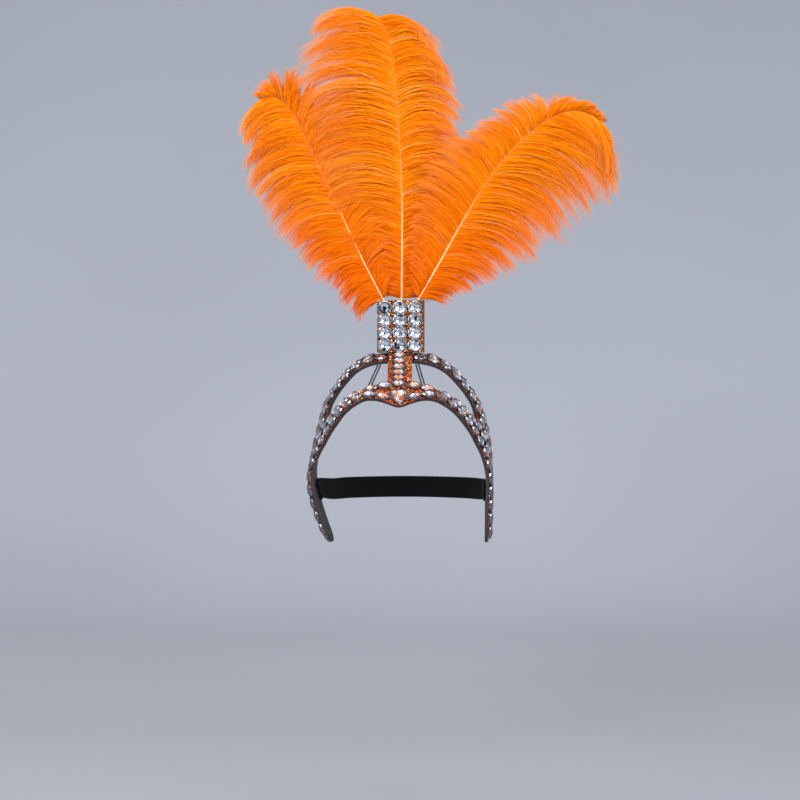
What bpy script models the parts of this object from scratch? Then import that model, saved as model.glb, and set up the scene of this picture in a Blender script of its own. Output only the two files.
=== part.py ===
"""Carnival feather headdress: a foam frame faced with copper glitter sheet and set with clear crystals,
a crystal-covered block that holds three ostrich plumes, and an elastic strap round the back of the head.

The origin is on the inner side of the forehead band, on the centre line. +Z is up, the wearer looks along
-Y, and the wearer's head is on the +Y side. Sizes below are millimetres; the meshes are in metres.
"""

import math
from collections import namedtuple

import bmesh
import bpy
from mathutils import Vector

MM = 0.001
# The tables' y starts inside the foam, and everything is moved forward by this much, so that the origin
# comes to lie on the foam's inner side.
SEAT_DEPTH = 1.65
GAP = 0.3
FOAM = 3.5
FACING = 0.8
FACING_TOP = GAP + FACING
STONE_SEAT = FACING_TOP + GAP

POST_HALF_WIDTH = 12.8
POST_LEAN = math.radians(33)
POST_FOOT = (9.4, 17.0)
POST_TOP_Z = 49.9
POST_RECESS = 0.4

TOWER_HALF_WIDTH = 23.2
TOWER_FRONT = 28.0
TOWER_BACK = 53.0
TOWER_BOTTOM = 50.4
TOWER_TOP = 105.2

STRAP_WIDTH = 23.5
STRAP_END_WIDTH = 20.0
STRAP_THICKNESS = 1.5
STRAP_HEIGHT = -97.5
STRAP_SECTION = 11.35
BEND_CLEARANCE = 1.1
HEAD_CENTRE_Y = 96.0
# Where the strap passes behind the head, from the left flap to the right one (x, y).
STRAP_BACK = [(-79, 122), (-66, 150), (-45, 172), (-20, 185), (0, 188),
              (20, 185), (45, 172), (69, 150), (84, 122)]
WIRE_RADIUS = 0.8
# Each hairpin runs from a section of the arch to a section of the band, just inside the foam.
Brace = namedtuple("Brace", "name side arch_section band_section")
BRACES = [Brace("brace_left", -1, 1.8, 2.95), Brace("brace_right", 1, 1.4, 2.2)]
BRACE_ACROSS = {"arch": 0.12, "band": 0.86}
BRACE_CLEARANCE = {"arch": 0.6, "band": 0.7}
HAIRPIN_HALF_WIDTH = 1.45
HAIRPIN_BEND = 1.2

# The four edge curves of the right half, on the foam's outer face, from the forehead to the flap's tip:
# the front edge, the band's upper edge and the arch's lower edge round the window, and the rear edge.
Section = namedtuple("Section", "front band arch rear")
SECTIONS = [
    Section((0, -7.1, -6.3), (0, 9.4, 17), (0, 27.3, 41.5), (0, 46, 48)),
    Section((13, -4.5, -2.4), (13, 10.4, 18), (13, 28, 41), (13, 46.5, 47.5)),
    Section((25, -2, 0.8), (26, 11.8, 14.5), (26, 30, 39.5), (27, 48.5, 45.8)),
    Section((37.5, 3.2, 0.2), (38.5, 15.6, 10.3), (38, 33.5, 36), (41, 52, 40)),
    Section((49.5, 11, -6), (50, 22, 5), (49.5, 38.5, 29.3), (53.5, 56.5, 31)),
    Section((59.5, 20, -14), (60, 30.5, -2.5), (60, 44.5, 18.5), (64.8, 62, 18.5)),
    Section((68, 30, -24.5), (69, 40.5, -12), (69, 50.5, 7.3), (73.7, 68, 5.5)),
    Section((75, 40, -35), (76.5, 51.5, -20.8), (77, 57, -7), (80.5, 73.5, -6.5)),
    Section((80.8, 49, -46.5), (82.5, 62, -28.5), (82.5, 62, -28.5), (86, 79, -21)),
    Section((87.3, 56, -60.5), (88.5, 70, -46.5), (88.5, 70, -46.5), (89.8, 87, -39)),
    Section((91.7, 61, -78), (91.7, 76.5, -69), (91.7, 76.5, -69), (91.5, 93, -61)),
    Section((92.8, 64, -99), (92.6, 79, -93), (92.6, 79, -93), (91.6, 95, -87)),
    Section((92.4, 68, -120), (92, 80.5, -117), (92, 80.5, -117), (91.1, 93.5, -113)),
    Section((91.9, 73, -139), (91.5, 81, -138.5), (91.5, 81, -138.5), (90.9, 89.4, -136.5)),
    Section((91.3, 77.4, -148.6), (91.1, 82, -149), (91.1, 82, -149), (90.9, 86.5, -147.6)),
    Section((91.1, 80.8, -152.6), (91.1, 82.3, -153.2), (91.1, 82.3, -153.2), (91, 83.8, -152.6)),
]
WINDOW_END = 8
COLUMNS_PER_SECTION = 2
LAST = len(SECTIONS) - 1

# The left flap was bent in towards the neck: how far, below which height, and how quickly it grows. Its
# rear edge also turns in a little.
BEND = {"start": -88.0, "span": 65.0, "inward": 17.9, "power": 1.5}
REAR_TURN = {"start": -80.0, "span": 60.0, "inward": 2.6}
LEFT_SPREAD = {"start": -25.0, "span": 50.0, "outward": 5.2}

# Rows of navette crystals: the strip they lie on, which of its edges they follow and how far in from it, and
# the run of each row in millimetres of its length from the centre line.
StoneRow = namedtuple("StoneRow", "strip edge inset first last")
STONE_ROWS = [
    StoneRow("band", "low", 5.6, 17.6, 280),
    StoneRow("arch", "high", 5.2, 34.0, 280),
    StoneRow("band", "high", 5.4, 16.2, 220),
    StoneRow("arch", "low", 5.2, 21.2, 220),
]
EDGE_MARGIN = 3.4
NAVETTE = (14.2, 7.0)
NAVETTE_PITCH = 14.75
POST_NAVETTE = (14.0, 6.8)
POST_STONES = {"count": 6, "first": -1.2, "pitch": 7.1, "x": -0.9, "over_facing": 0.4}
ROUND_STONE = 12.9
TOWER_STONES = {"rows": 4, "columns": 3, "x": 0.2, "x_pitch": 16.05, "top_z": 97.2, "z_pitch": 13.25}
PEAR = (18.0, 18.0)
PEAR_ACROSS = 0.36
# Levels of a cut stone above its seat, and the outline's scale at each: claw base, girdle and table.
STONE_LEVELS = ((0.2, 0.86), (1.7, 1.0), (3.6, 0.55))
# The stones of a row: their height, where the table ends along them, its share of their width, and the
# narrow links and ties that hold them together.
STONE_HEIGHT = 3.5
TABLE_END = 0.56
TABLE_SHARE = 0.55
CHAIN_LIFT = 0.15
LINK_HALF_WIDTH = 0.5
LINK_HEIGHT = 0.9
LINK_STEP = 5.0
TIE_HALF_WIDTH = 0.7
TIE_REACH = 11.0

# Each plume: quill points (x, z) from the block's top to the tip, depth at the foot and how far the tip
# lies forward or back of it, then vane rows from foot to tip with the length and lift of its locks.
Vane = namedtuple("Vane", "at left right left_angle right_angle")
PLUMES = {
    "plume_left": {
        "depth": (47.0, 74.0),
        "quill": [(-18.5, 106.5), (-40.6, 148.7), (-56.6, 182.2), (-81.4, 235.7), (-105.5, 288.8),
                  (-117.5, 307.7), (-130.9, 318.9), (-139.1, 320.3)],
        "vanes": [
            Vane(0.02, 42, 30, 58, 40),
            Vane(0.15, 66, 56, 58, 46),
            Vane(0.40, 82, 74, 55, 50),
            Vane(0.70, 78, 66, 48, 44),
            Vane(0.90, 62, 40, 46, 34),
            Vane(0.99, 28, 22, 26, 30),
        ],
    },
    "plume_centre": {
        "depth": (40.5, 46.0),
        "quill": [(0.6, 107.1), (1, 160), (1, 210), (-1, 260), (-3, 306.2), (-7, 339.7), (-13.1, 375.9),
                  (-18.4, 393)],
        "vanes": [
            Vane(0.03, 48, 48, 58, 58),
            Vane(0.20, 78, 72, 60, 60),
            Vane(0.50, 96, 76, 60, 60),
            Vane(0.75, 104, 76, 58, 60),
            Vane(0.92, 98, 62, 42, 58),
            Vane(0.99, 84, 34, 22, 50),
        ],
    },
    "plume_right": {
        "depth": (34.0, 10.0),
        "quill": [(18.8, 106.5), (41.4, 145.2), (61.4, 180.6), (90.5, 224), (124, 265), (148.6, 289.4),
                  (162.2, 297.2), (174.5, 299.9), (197, 297)],
        "vanes": [
            Vane(0.02, 30, 44, 40, 58),
            Vane(0.15, 54, 70, 46, 58),
            Vane(0.40, 66, 92, 50, 54),
            Vane(0.70, 40, 98, 44, 48),
            Vane(0.90, 33, 98, 34, 26),
            Vane(0.99, 32, 64, 26, 14),
        ],
    },
}
QUILL_SIZE = (4.2, 1.4)
QUILL_DEPTH = 24.0
LOCKS_PER_SIDE = 14
LOCK_STEPS = 4
LOCK_WIDTHS = (1.0, 1.0, 0.92, 0.72, 0.3)
LOCK_THICKNESS = (1.0, 0.9, 0.75, 0.6, 0.4)
LOCK_DROOP = math.radians(62)
# How far a lock's tip lies in front of or behind the quill, at the foot and at the tip of the plume.
LOCK_SWAY = (2.5, 12.0)
LOCK_GAP = 0.4
Lock = namedtuple("Lock", "face local points headings")


def clear_scene():
    for obj in list(bpy.data.objects):
        bpy.data.objects.remove(obj, do_unlink=True)


def material(name, colour, roughness, metallic=0.0):
    made = bpy.data.materials.new(name)
    made.use_nodes = True
    shader = made.node_tree.nodes["Principled BSDF"]
    shader.inputs["Base Color"].default_value = (*colour, 1.0)
    shader.inputs["Roughness"].default_value = roughness
    shader.inputs["Metallic"].default_value = metallic
    return made


def add_object(name, bm, finish, smooth=False):
    """Turns the bmesh, in the tables' millimetres, into an object in metres."""
    bmesh.ops.translate(bm, vec=(0, -SEAT_DEPTH, 0), verts=bm.verts)
    bmesh.ops.scale(bm, vec=(MM, MM, MM), verts=bm.verts)
    mesh = bpy.data.meshes.new(name)
    bm.to_mesh(mesh)
    bm.free()
    obj = bpy.data.objects.new(name, mesh)
    bpy.context.scene.collection.objects.link(obj)
    mesh.materials.append(finish)
    if smooth:
        mesh.shade_smooth()
        mesh.set_sharp_from_angle(angle=math.radians(35))
    return obj


def helper(name, bm, finish):
    """A cutter or an addition for a Boolean: it isn't part of the object by itself."""
    obj = add_object(name, bm, finish)
    obj.hide_render = True
    obj.display_type = "WIRE"
    return obj


def boolean(obj, other, operation):
    modifier = obj.modifiers.new(operation.title(), "BOOLEAN")
    modifier.operation = operation
    modifier.solver = "EXACT"
    modifier.object = other


def wall(obj, low, high):
    """Gives an open sheet a wall between two heights over it, in millimetres along its normal."""
    modifier = obj.modifiers.new("Wall", "SOLIDIFY")
    modifier.thickness = (high - low) * MM
    modifier.offset = (high + low) / (high - low)
    modifier.use_even_offset = True
    modifier.use_quality_normals = True


def loft(bm, rings):
    """A closed solid through rings of equally many points, with a flat cap on each end."""
    loops = [[bm.verts.new(point) for point in ring] for ring in rings]
    count = len(loops[0])
    faces = []
    for low, high in zip(loops, loops[1:]):
        for i in range(count):
            j = (i + 1) % count
            faces.append(bm.faces.new((low[i], low[j], high[j], high[i])))
    faces.append(bm.faces.new(loops[0][::-1]))
    faces.append(bm.faces.new(loops[-1]))
    bmesh.ops.recalc_face_normals(bm, faces=faces)


def smooth_point(rows, t):
    """A point of the smooth curve through the rows, at row number t."""
    k = min(int(t), len(rows) - 2)
    f = t - k
    p1, p2 = Vector(rows[k]), Vector(rows[k + 1])
    p0 = Vector(rows[k - 1]) if k else 2 * p1 - p2
    p3 = Vector(rows[k + 2]) if k + 2 < len(rows) else 2 * p2 - p1
    return 0.5 * (
        2 * p1 + (p2 - p0) * f + (2 * p0 - 5 * p1 + 4 * p2 - p3) * f * f + (3 * p1 - p0 - 3 * p2 + p3) * f**3
    )


def mirrored(point):
    return (-point[0], point[1], point[2])


def edge_rows(name):
    rows = [getattr(section, name) for section in SECTIONS]
    return [mirrored(rows[1]), *rows]


EDGES = {name: edge_rows(name) for name in Section._fields}


def ramp(change, z):
    """How much of a gradual change is reached at this height."""
    return min(1.0, max(0.0, (change["start"] - z) / change["span"]))


def edge_point(name, t, side):
    """A point of one edge curve at section t, on the right (1) or the left (-1)."""
    point = smooth_point(EDGES[name], t + 1)
    if t >= WINDOW_END and name in ("band", "arch"):
        other = "arch" if name == "band" else "band"
        point = (point + smooth_point(EDGES[other], t + 1)) / 2
    if side < 0:
        point.x = -point.x
        below = (BEND["start"] - point.z) / BEND["span"]
        point.x += BEND["inward"] * max(0.0, below) ** BEND["power"]
        point.x -= LEFT_SPREAD["outward"] * ramp(LEFT_SPREAD, point.z)
        if name == "rear":
            point.x += REAR_TURN["inward"] * ramp(REAR_TURN, point.z)
    return point


def strip_point(strip, t, across, side):
    """A point of the band (front to band edge) or of the arch (arch edge to rear edge)."""
    low, high = ("front", "band") if strip == "band" else ("arch", "rear")
    return edge_point(low, t, side).lerp(edge_point(high, t, side), across)


def strip_axes(strip, t, across, side):
    """Unit vectors along the strip, across it and out of it."""
    step = 0.05
    along = strip_point(strip, min(t + step, LAST), across, side)
    along = (along - strip_point(strip, max(t - step, 0), across, side)).normalized()
    over = strip_point(strip, t, 1, side) - strip_point(strip, t, 0, side)
    out = along.cross(over).normalized() * side
    return along, out.cross(along).normalized(), out


def add_strip(bm, low, high):
    """A strip of quads between two rows of points."""
    rows = [[bm.verts.new(point) for point in row] for row in (low, high)]
    for i in range(len(low) - 1):
        bm.faces.new((rows[0][i], rows[0][i + 1], rows[1][i + 1], rows[1][i]))


def both_halves(name):
    columns = [i / COLUMNS_PER_SECTION for i in range(LAST * COLUMNS_PER_SECTION + 1)]
    left = [edge_point(name, t, -1) for t in reversed(columns[1:])]
    return left + [edge_point(name, t, 1) for t in columns]


def frame_sheet():
    """The outer face of the whole frame, open at both windows, its faces pointing out."""
    bm = bmesh.new()
    add_strip(bm, both_halves("front"), both_halves("band"))
    add_strip(bm, both_halves("arch"), both_halves("rear"))
    bmesh.ops.remove_doubles(bm, verts=bm.verts, dist=0.01)
    return bm


def post_point(along, out):
    """A point of the post's face in the centre plane: along it from its foot, and out of it."""
    y = POST_FOOT[0] + along * math.sin(POST_LEAN) - out * math.cos(POST_LEAN)
    return y, POST_FOOT[1] + along * math.cos(POST_LEAN) + out * math.sin(POST_LEAN)


def prism(bm, outline, x_low, x_high):
    """A solid with this (y, z) outline between two widths."""
    loft(bm, [[(x, y, z) for y, z in outline] for x in (x_low, x_high)])


POST_LENGTH = (POST_TOP_Z - POST_FOOT[1]) / math.cos(POST_LEAN)


def make_foam_frame(finish):
    frame = add_object("foam_frame", frame_sheet(), finish)
    wall(frame, -FOAM, 0)
    bm = bmesh.new()
    outline = [
        post_point(-4, -POST_RECESS),
        post_point(POST_LENGTH, -POST_RECESS),
        post_point(POST_LENGTH, -POST_RECESS - FOAM),
        post_point(-4, -POST_RECESS - FOAM + 1),
    ]
    prism(bm, outline, -POST_HALF_WIDTH, POST_HALF_WIDTH)
    boolean(frame, helper("post_block", bm, finish), "UNION")


def make_facings(finish):
    facing = add_object("glitter_facing", frame_sheet(), finish)
    wall(facing, GAP, FACING_TOP)
    bm = bmesh.new()
    edge = POST_HALF_WIDTH + GAP
    prism(bm, [(18, 30), (62, 30), (62, 62), (18, 62)], -edge, edge)
    boolean(facing, helper("post_gap", bm, finish), "DIFFERENCE")
    bm = bmesh.new()
    low, high = GAP - POST_RECESS, FACING_TOP - POST_RECESS
    corners = ((2.2, low), (POST_LENGTH, low), (POST_LENGTH, high), (2.2, high))
    prism(bm, [post_point(*corner) for corner in corners], -POST_HALF_WIDTH, POST_HALF_WIDTH)
    add_object("post_facing", bm, finish)


def navette(length, width, sides=8):
    """A boat-shaped outline of two arcs."""
    turns = [2 * math.pi * i / sides for i in range(sides)]
    return [
        (length / 2 * math.cos(a), math.copysign(width / 2 * (1 - math.cos(a) ** 2), math.sin(a)))
        for a in turns
    ]


def round_outline(diameter, sides=10):
    turns = [2 * math.pi * (i + 0.5) / sides for i in range(sides)]
    return [(diameter / 2 * math.cos(a), diameter / 2 * math.sin(a)) for a in turns]


def pear(width, height, sides=12):
    """A drop with its point towards -y."""
    points = []
    for i in range(sides):
        a = 2 * math.pi * i / sides
        points.append((math.sin(a) * math.sin(a / 2) * 1.3 * width / 2, -math.cos(a) * height / 2))
    return points


def add_stone(bm, outline, centre, right, up, out):
    rings = []
    for height, scale in STONE_LEVELS:
        rings.append([centre + right * (x * scale) + up * (y * scale) + out * height for x, y in outline])
    loft(bm, rings)


def across_at(row, t, side):
    """How far across its strip the row lies at section t."""
    width = (strip_point(row.strip, t, 1, side) - strip_point(row.strip, t, 0, side)).length
    share = min(1.0, row.inset / max(width, 0.1))
    return share if row.edge == "low" else 1 - share


def row_point(row, t, side):
    return strip_point(row.strip, t, across_at(row, t, side), side)


def row_axes(row, t, side):
    return strip_axes(row.strip, t, across_at(row, t, side), side)


def row_length_table(row, side):
    """Pairs of section number and length along the row from the centre line."""
    steps = [i / 50 for i in range(LAST * 50 + 1)]
    points = [row_point(row, t, side) for t in steps]
    length = 0.0
    table = [(0.0, 0.0)]
    for i in range(1, len(steps)):
        length += (points[i] - points[i - 1]).length
        table.append((steps[i], length))
    return table


def section_at(table, length):
    return next((t for t, run in table if run >= length), LAST)


def clear_of(place, placed):
    """Whether a stone keeps its own width and length from those already there."""
    centre, along = place[0], place[1]
    for other, other_along, *_ in placed:
        apart = centre - other
        lengthways = abs(apart.dot((along + other_along).normalized()))
        sideways = math.sqrt(max(0.0, apart.length_squared - lengthways**2))
        if lengthways < 14.5 and sideways < 7.3 * (1 - (lengthways / 15.5) ** 2) + 0.2:
            return False
    return True


def edge_margin(row, t, side):
    """Distance from the row to the nearer edge of the frame."""
    edge = "front" if row.strip == "band" else "rear"
    return (row_point(row, t, side) - edge_point(edge, t, side)).length


def stone_places(side):
    """Centre, axes and row of each navette on one half."""
    placed = []
    for row in STONE_ROWS:
        table = row_length_table(row, side)
        length = row.first
        while length < min(row.last, table[-1][1] - 6):
            t = section_at(table, length)
            axes = row_axes(row, t, side)
            place = (row_point(row, t, side) + axes[2] * STONE_SEAT, *axes, row, t)
            if edge_margin(row, t, side) > EDGE_MARGIN and clear_of(place, placed):
                placed.append(place)
                length += NAVETTE_PITCH
            else:
                length += 0.5
    return placed


def chain_ring(centre, axes, half_base, half_top, height):
    """A cross-section of a row of stones: its base on the seat, its top narrower."""
    over, out = axes[1], axes[2]
    low, high = centre + out * CHAIN_LIFT, centre + out * (CHAIN_LIFT + height)
    return [low - over * half_base, high - over * half_top, high + over * half_top, low + over * half_base]


def stone_rings(place):
    """Sections of one navette from tip to tip, with its table in the middle."""
    centre, axes = place[0], place[1:4]
    length, width = NAVETTE
    rings = []
    for share, height in ((-1, LINK_HEIGHT), (-TABLE_END, STONE_HEIGHT), (0, STONE_HEIGHT),
                          (TABLE_END, STONE_HEIGHT), (1, LINK_HEIGHT)):
        half = max(LINK_HALF_WIDTH, width / 2 * (1 - share**2))
        top = half * (TABLE_SHARE if abs(share) < 1 else 0.8)
        rings.append(chain_ring(centre + axes[0] * (share * length / 2), axes, half, top, height))
    return rings


def link_rings(row, before, after, side):
    """Sections of the narrow link across a wide gap between two stones, so that it follows the surface."""
    gap = (after[0] - before[0]).length - NAVETTE[0]
    steps = int(gap / LINK_STEP)
    rings = []
    for i in range(1, steps + 1):
        t = before[5] + (after[5] - before[5]) * (0.5 + (i / (steps + 1) - 0.5) * gap / (gap + NAVETTE[0]))
        axes = row_axes(row, t, side)
        centre = row_point(row, t, side) + axes[2] * STONE_SEAT
        rings.append(chain_ring(centre, axes, LINK_HALF_WIDTH, LINK_HALF_WIDTH * 0.8, LINK_HEIGHT))
    return rings


def add_tie(bm, one, other):
    """A flat bar in the seat between two stones of neighbouring rows."""
    run = other[0] - one[0]
    out = (one[3] + other[3]).normalized()
    wide = run.cross(out).normalized() * TIE_HALF_WIDTH
    rings = []
    for end in (one[0] + run * 0.15, other[0] - run * 0.15):
        low, high = end + out * (CHAIN_LIFT + 0.15), end + out * (CHAIN_LIFT + 0.75)
        rings.append([low - wide, high - wide, high + wide, low + wide])
    loft(bm, rings)


def make_band_stones(side, name, finish):
    """The navettes of one half: a chain of stones for each row, and ties between the rows."""
    places = stone_places(side)
    rows = {row: [place for place in places if place[4] is row] for row in STONE_ROWS}
    bm = bmesh.new()
    for row, stones in rows.items():
        rings = stone_rings(stones[0])
        for before, after in zip(stones, stones[1:]):
            rings += link_rings(row, before, after, side) + stone_rings(after)
        loft(bm, rings)
    field = add_object(name, bm, finish)

    bm = bmesh.new()
    for one_row, other_row in ((0, 2), (3, 1), (2, 3)):
        one, other = rows[STONE_ROWS[one_row]], rows[STONE_ROWS[other_row]]
        pairs = [(a, b) for a in one for b in other if (a[0] - b[0]).length < TIE_REACH]
        for a, b in (pairs[0], pairs[-1]):
            add_tie(bm, a, b)
    boolean(field, helper(name + "_ties", bm, finish), "UNION")


def make_post_stones(finish):
    right = Vector((1, 0, 0))
    out = Vector((0, -math.cos(POST_LEAN), math.sin(POST_LEAN)))
    up = Vector((0, math.sin(POST_LEAN), math.cos(POST_LEAN)))
    seat = STONE_SEAT - POST_RECESS + POST_STONES["over_facing"]
    for i in range(POST_STONES["count"]):
        bm = bmesh.new()
        y, z = post_point(POST_STONES["first"] + POST_STONES["pitch"] * i, seat)
        add_stone(bm, navette(*POST_NAVETTE), Vector((POST_STONES["x"], y, z)), right, up, out)
        add_object(f"post_stone_{i + 1}", bm, finish)
    bm = bmesh.new()
    right, up, out = strip_axes("band", 0, PEAR_ACROSS, 1)
    centre = strip_point("band", 0, PEAR_ACROSS, 1) + out * (STONE_SEAT + 0.2)
    add_stone(bm, pear(*PEAR), centre, right, up, out)
    add_object("centre_stone", bm, finish)


def make_tower_stones(finish):
    right, up, out = Vector((1, 0, 0)), Vector((0, 0, 1)), Vector((0, -1, 0))
    grid = TOWER_STONES
    for row in range(grid["rows"]):
        for column in range(grid["columns"]):
            bm = bmesh.new()
            x = grid["x"] + grid["x_pitch"] * (column - 1)
            z = grid["top_z"] - grid["z_pitch"] * row
            add_stone(bm, round_outline(ROUND_STONE), Vector((x, TOWER_FRONT - 0.1, z)), right, up, out)
            add_object(f"tower_stone_{row + 1}_{column + 1}", bm, finish)


def quill_point(plume, t):
    """A point of the quill in space, from its foot at 0 to its tip at 1."""
    rows = plume["quill"]
    x, z, _ = smooth_point([(x, z, 0) for x, z in rows], t * (len(rows) - 1))
    foot, tip = plume["depth"]
    rise = (z - rows[0][1]) / (max(z for _, z in rows) - rows[0][1])
    return Vector((x, foot + (tip - foot) * max(0.0, rise) ** 1.4, z))


def quill_tangent(plume, t):
    step = 0.01
    ahead = quill_point(plume, min(1, t + step))
    return (ahead - quill_point(plume, max(0, t - step))).normalized()


def quill_foot(plume):
    """The lower end of the quill, inside the block."""
    return quill_point(plume, 0) - quill_tangent(plume, 0) * QUILL_DEPTH


def quill_ring(centre, tangent, width, depth):
    """A rectangle round the quill: lateral and depth corners."""
    back = Vector((0, 1, 0))
    back = (back - tangent * back.dot(tangent)).normalized()
    side = tangent.cross(back).normalized()
    corners = ((-1, -1), (1, -1), (1, 1), (-1, 1))
    return [centre + side * (a * width / 2) + back * (b * depth / 2) for a, b in corners]


def make_tower(core_finish, wrap_finish):
    bm = bmesh.new()
    wall_in = FACING + GAP
    x = TOWER_HALF_WIDTH - wall_in
    front, back = TOWER_FRONT + wall_in, TOWER_BACK - wall_in
    outline = [(front, TOWER_BOTTOM), (back, TOWER_BOTTOM), (back, TOWER_TOP), (front, TOWER_TOP)]
    prism(bm, outline, -x, x)
    core = add_object("tower_core", bm, core_finish)

    bm = bmesh.new()
    arch, rear = SECTIONS[0].arch, SECTIONS[0].rear
    slope = (rear[2] - arch[2]) / (rear[1] - arch[1])
    feet = [(y, arch[2] + slope * (y - arch[1]) + 1.6 * GAP) for y in (37.0, rear[1])]
    prism(bm, [*feet, (rear[1], TOWER_BOTTOM + 1), (37.5, TOWER_BOTTOM + 1)], -9, 9)
    boolean(core, helper("tower_foot", bm, core_finish), "UNION")
    bm = bmesh.new()
    for plume in PLUMES.values():
        tangent = quill_tangent(plume, 0)
        size = QUILL_SIZE[0] + 2 * GAP
        ends = (quill_foot(plume) - tangent * GAP, quill_point(plume, 0) + tangent * 8)
        loft(bm, [quill_ring(end, tangent, size, size) for end in ends])
    boolean(core, helper("quill_holes", bm, core_finish), "DIFFERENCE")

    bm = bmesh.new()
    outer = [(-1, TOWER_FRONT), (1, TOWER_FRONT), (1, TOWER_BACK), (-1, TOWER_BACK)]
    rings = [
        [(a * TOWER_HALF_WIDTH, y, z) for a, y in outer] for z in (TOWER_BOTTOM, TOWER_TOP)
    ]
    loft(bm, rings)
    wrap = add_object("tower_wrap", bm, wrap_finish)
    bm = bmesh.new()
    x = TOWER_HALF_WIDTH - FACING
    front, back = TOWER_FRONT + FACING, TOWER_BACK - FACING
    low, high = TOWER_BOTTOM - 5, TOWER_TOP + 5
    prism(bm, [(front, low), (back, low), (back, high), (front, high)], -x, x)
    boolean(wrap, helper("wrap_inside", bm, wrap_finish), "DIFFERENCE")


def vane_values(plume, t, side):
    """Length and starting angle of a lock at t, read from the vane rows."""
    rows = plume["vanes"]
    k = 0
    while k < len(rows) - 2 and rows[k + 1].at < t:
        k += 1
    low, high = rows[k], rows[k + 1]
    f = min(1.0, max(0.0, (t - low.at) / (high.at - low.at)))
    names = ("left", "left_angle") if side < 0 else ("right", "right_angle")
    return [getattr(low, n) * (1 - f) + getattr(high, n) * f for n in names]


def lock_path(root, tangent, side, length, angle, sway):
    """Stations of one lock: it leaves the quill at an angle, rises and then droops under its weight."""
    heading = math.atan2(tangent.z, tangent.x) - side * math.radians(angle)
    upright = math.cos(heading)
    points, headings = [root], [heading]
    for i in range(1, LOCK_STEPS + 1):
        f = i / LOCK_STEPS
        turned = heading - math.copysign(LOCK_DROOP * f**1.4, upright) * min(1.0, abs(upright) + 0.35)
        step = Vector((math.cos(turned), 0, math.sin(turned))) * length / LOCK_STEPS
        step.y = sway * (2 * f - 1 / LOCK_STEPS) / LOCK_STEPS
        points.append(points[-1] + step)
        headings.append(turned)
    return points, headings


def plan_lock(plume, face, side, t, sway):
    """The path of the lock that grows from one side face of the quill."""
    root = face.calc_center_median()
    tangent = quill_tangent(plume, t)
    length, angle = vane_values(plume, t, side)
    points, headings = lock_path(root, tangent, side, length, angle, sway)
    local = [((v.co - root).dot(tangent), v.co.y - root.y) for v in face.verts]
    return Lock(face, local, points, headings)


def lock_across(lock, i, side):
    """The direction across a lock at one station, towards the next lock up the quill."""
    heading = (lock.headings[i] + lock.headings[min(i + 1, LOCK_STEPS)]) / 2
    return Vector((-math.sin(heading), 0, math.cos(heading))) * side


def half_room(lock, neighbour, i, across):
    """Half the space between two locks at one station, less a thin gap."""
    return max(0.15, abs((neighbour.points[i] - lock.points[i]).dot(across)) / 2 - LOCK_GAP)


def grow_lock(bm, lock, before, after, side):
    """Extrudes a lock along its path, no wider than the room that its neighbours leave it."""
    face = lock.face
    for i in range(1, LOCK_STEPS + 1):
        made = bmesh.ops.extrude_discrete_faces(bm, faces=[face])
        face = made["faces"][0]
        across = lock_across(lock, i, side)
        for v, (a, b) in zip(face.verts, lock.local):
            neighbour = after if a > 0 else before
            width = abs(a) * LOCK_WIDTHS[i]
            if neighbour:
                width = min(width, half_room(lock, neighbour, i, across))
            v.co = lock.points[i] + across * math.copysign(width, a) + Vector((0, b * LOCK_THICKNESS[i], 0))


def make_plume(name, finish):
    """A quill with locks down both sides, all one body."""
    plume = PLUMES[name]
    count = LOCKS_PER_SIDE
    stations = [0.03 + 0.97 * i / count for i in range(count + 1)]
    foot_tangent = quill_tangent(plume, 0)
    rings = [quill_ring(quill_foot(plume), foot_tangent, QUILL_SIZE[0], QUILL_SIZE[0])]
    rings.append(quill_ring(quill_point(plume, 0), foot_tangent, QUILL_SIZE[0], QUILL_SIZE[0]))
    for t in stations:
        width = QUILL_SIZE[0] + (QUILL_SIZE[1] - QUILL_SIZE[0]) * t
        rings.append(quill_ring(quill_point(plume, t), quill_tangent(plume, t), width, QUILL_SIZE[0] - t))
    bm = bmesh.new()
    loft(bm, rings)
    bm.normal_update()
    sides = {-1: [], 1: []}
    for k in range(count):
        t = (stations[k] + stations[k + 1]) / 2
        tangent = quill_tangent(plume, t)
        middle = quill_point(plume, t)
        sway = (LOCK_SWAY[0] + (LOCK_SWAY[1] - LOCK_SWAY[0]) * t**1.6) * (-1, 0.2, 1)[k % 3]
        for side, locks in sides.items():
            lateral = Vector((tangent.z, 0, -tangent.x)) * side
            faces = [f for f in bm.faces if f.normal.dot(lateral) > 0.8]
            face = min(faces, key=lambda f: (f.calc_center_median() - middle).length)
            locks.append(plan_lock(plume, face, side, t, sway))
    for side, locks in sides.items():
        for before, lock, after in zip([None, *locks], locks, [*locks[1:], None]):
            grow_lock(bm, lock, before, after, side)
    bmesh.ops.recalc_face_normals(bm, faces=bm.faces)
    add_object(name, bm, finish, smooth=True)


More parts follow.
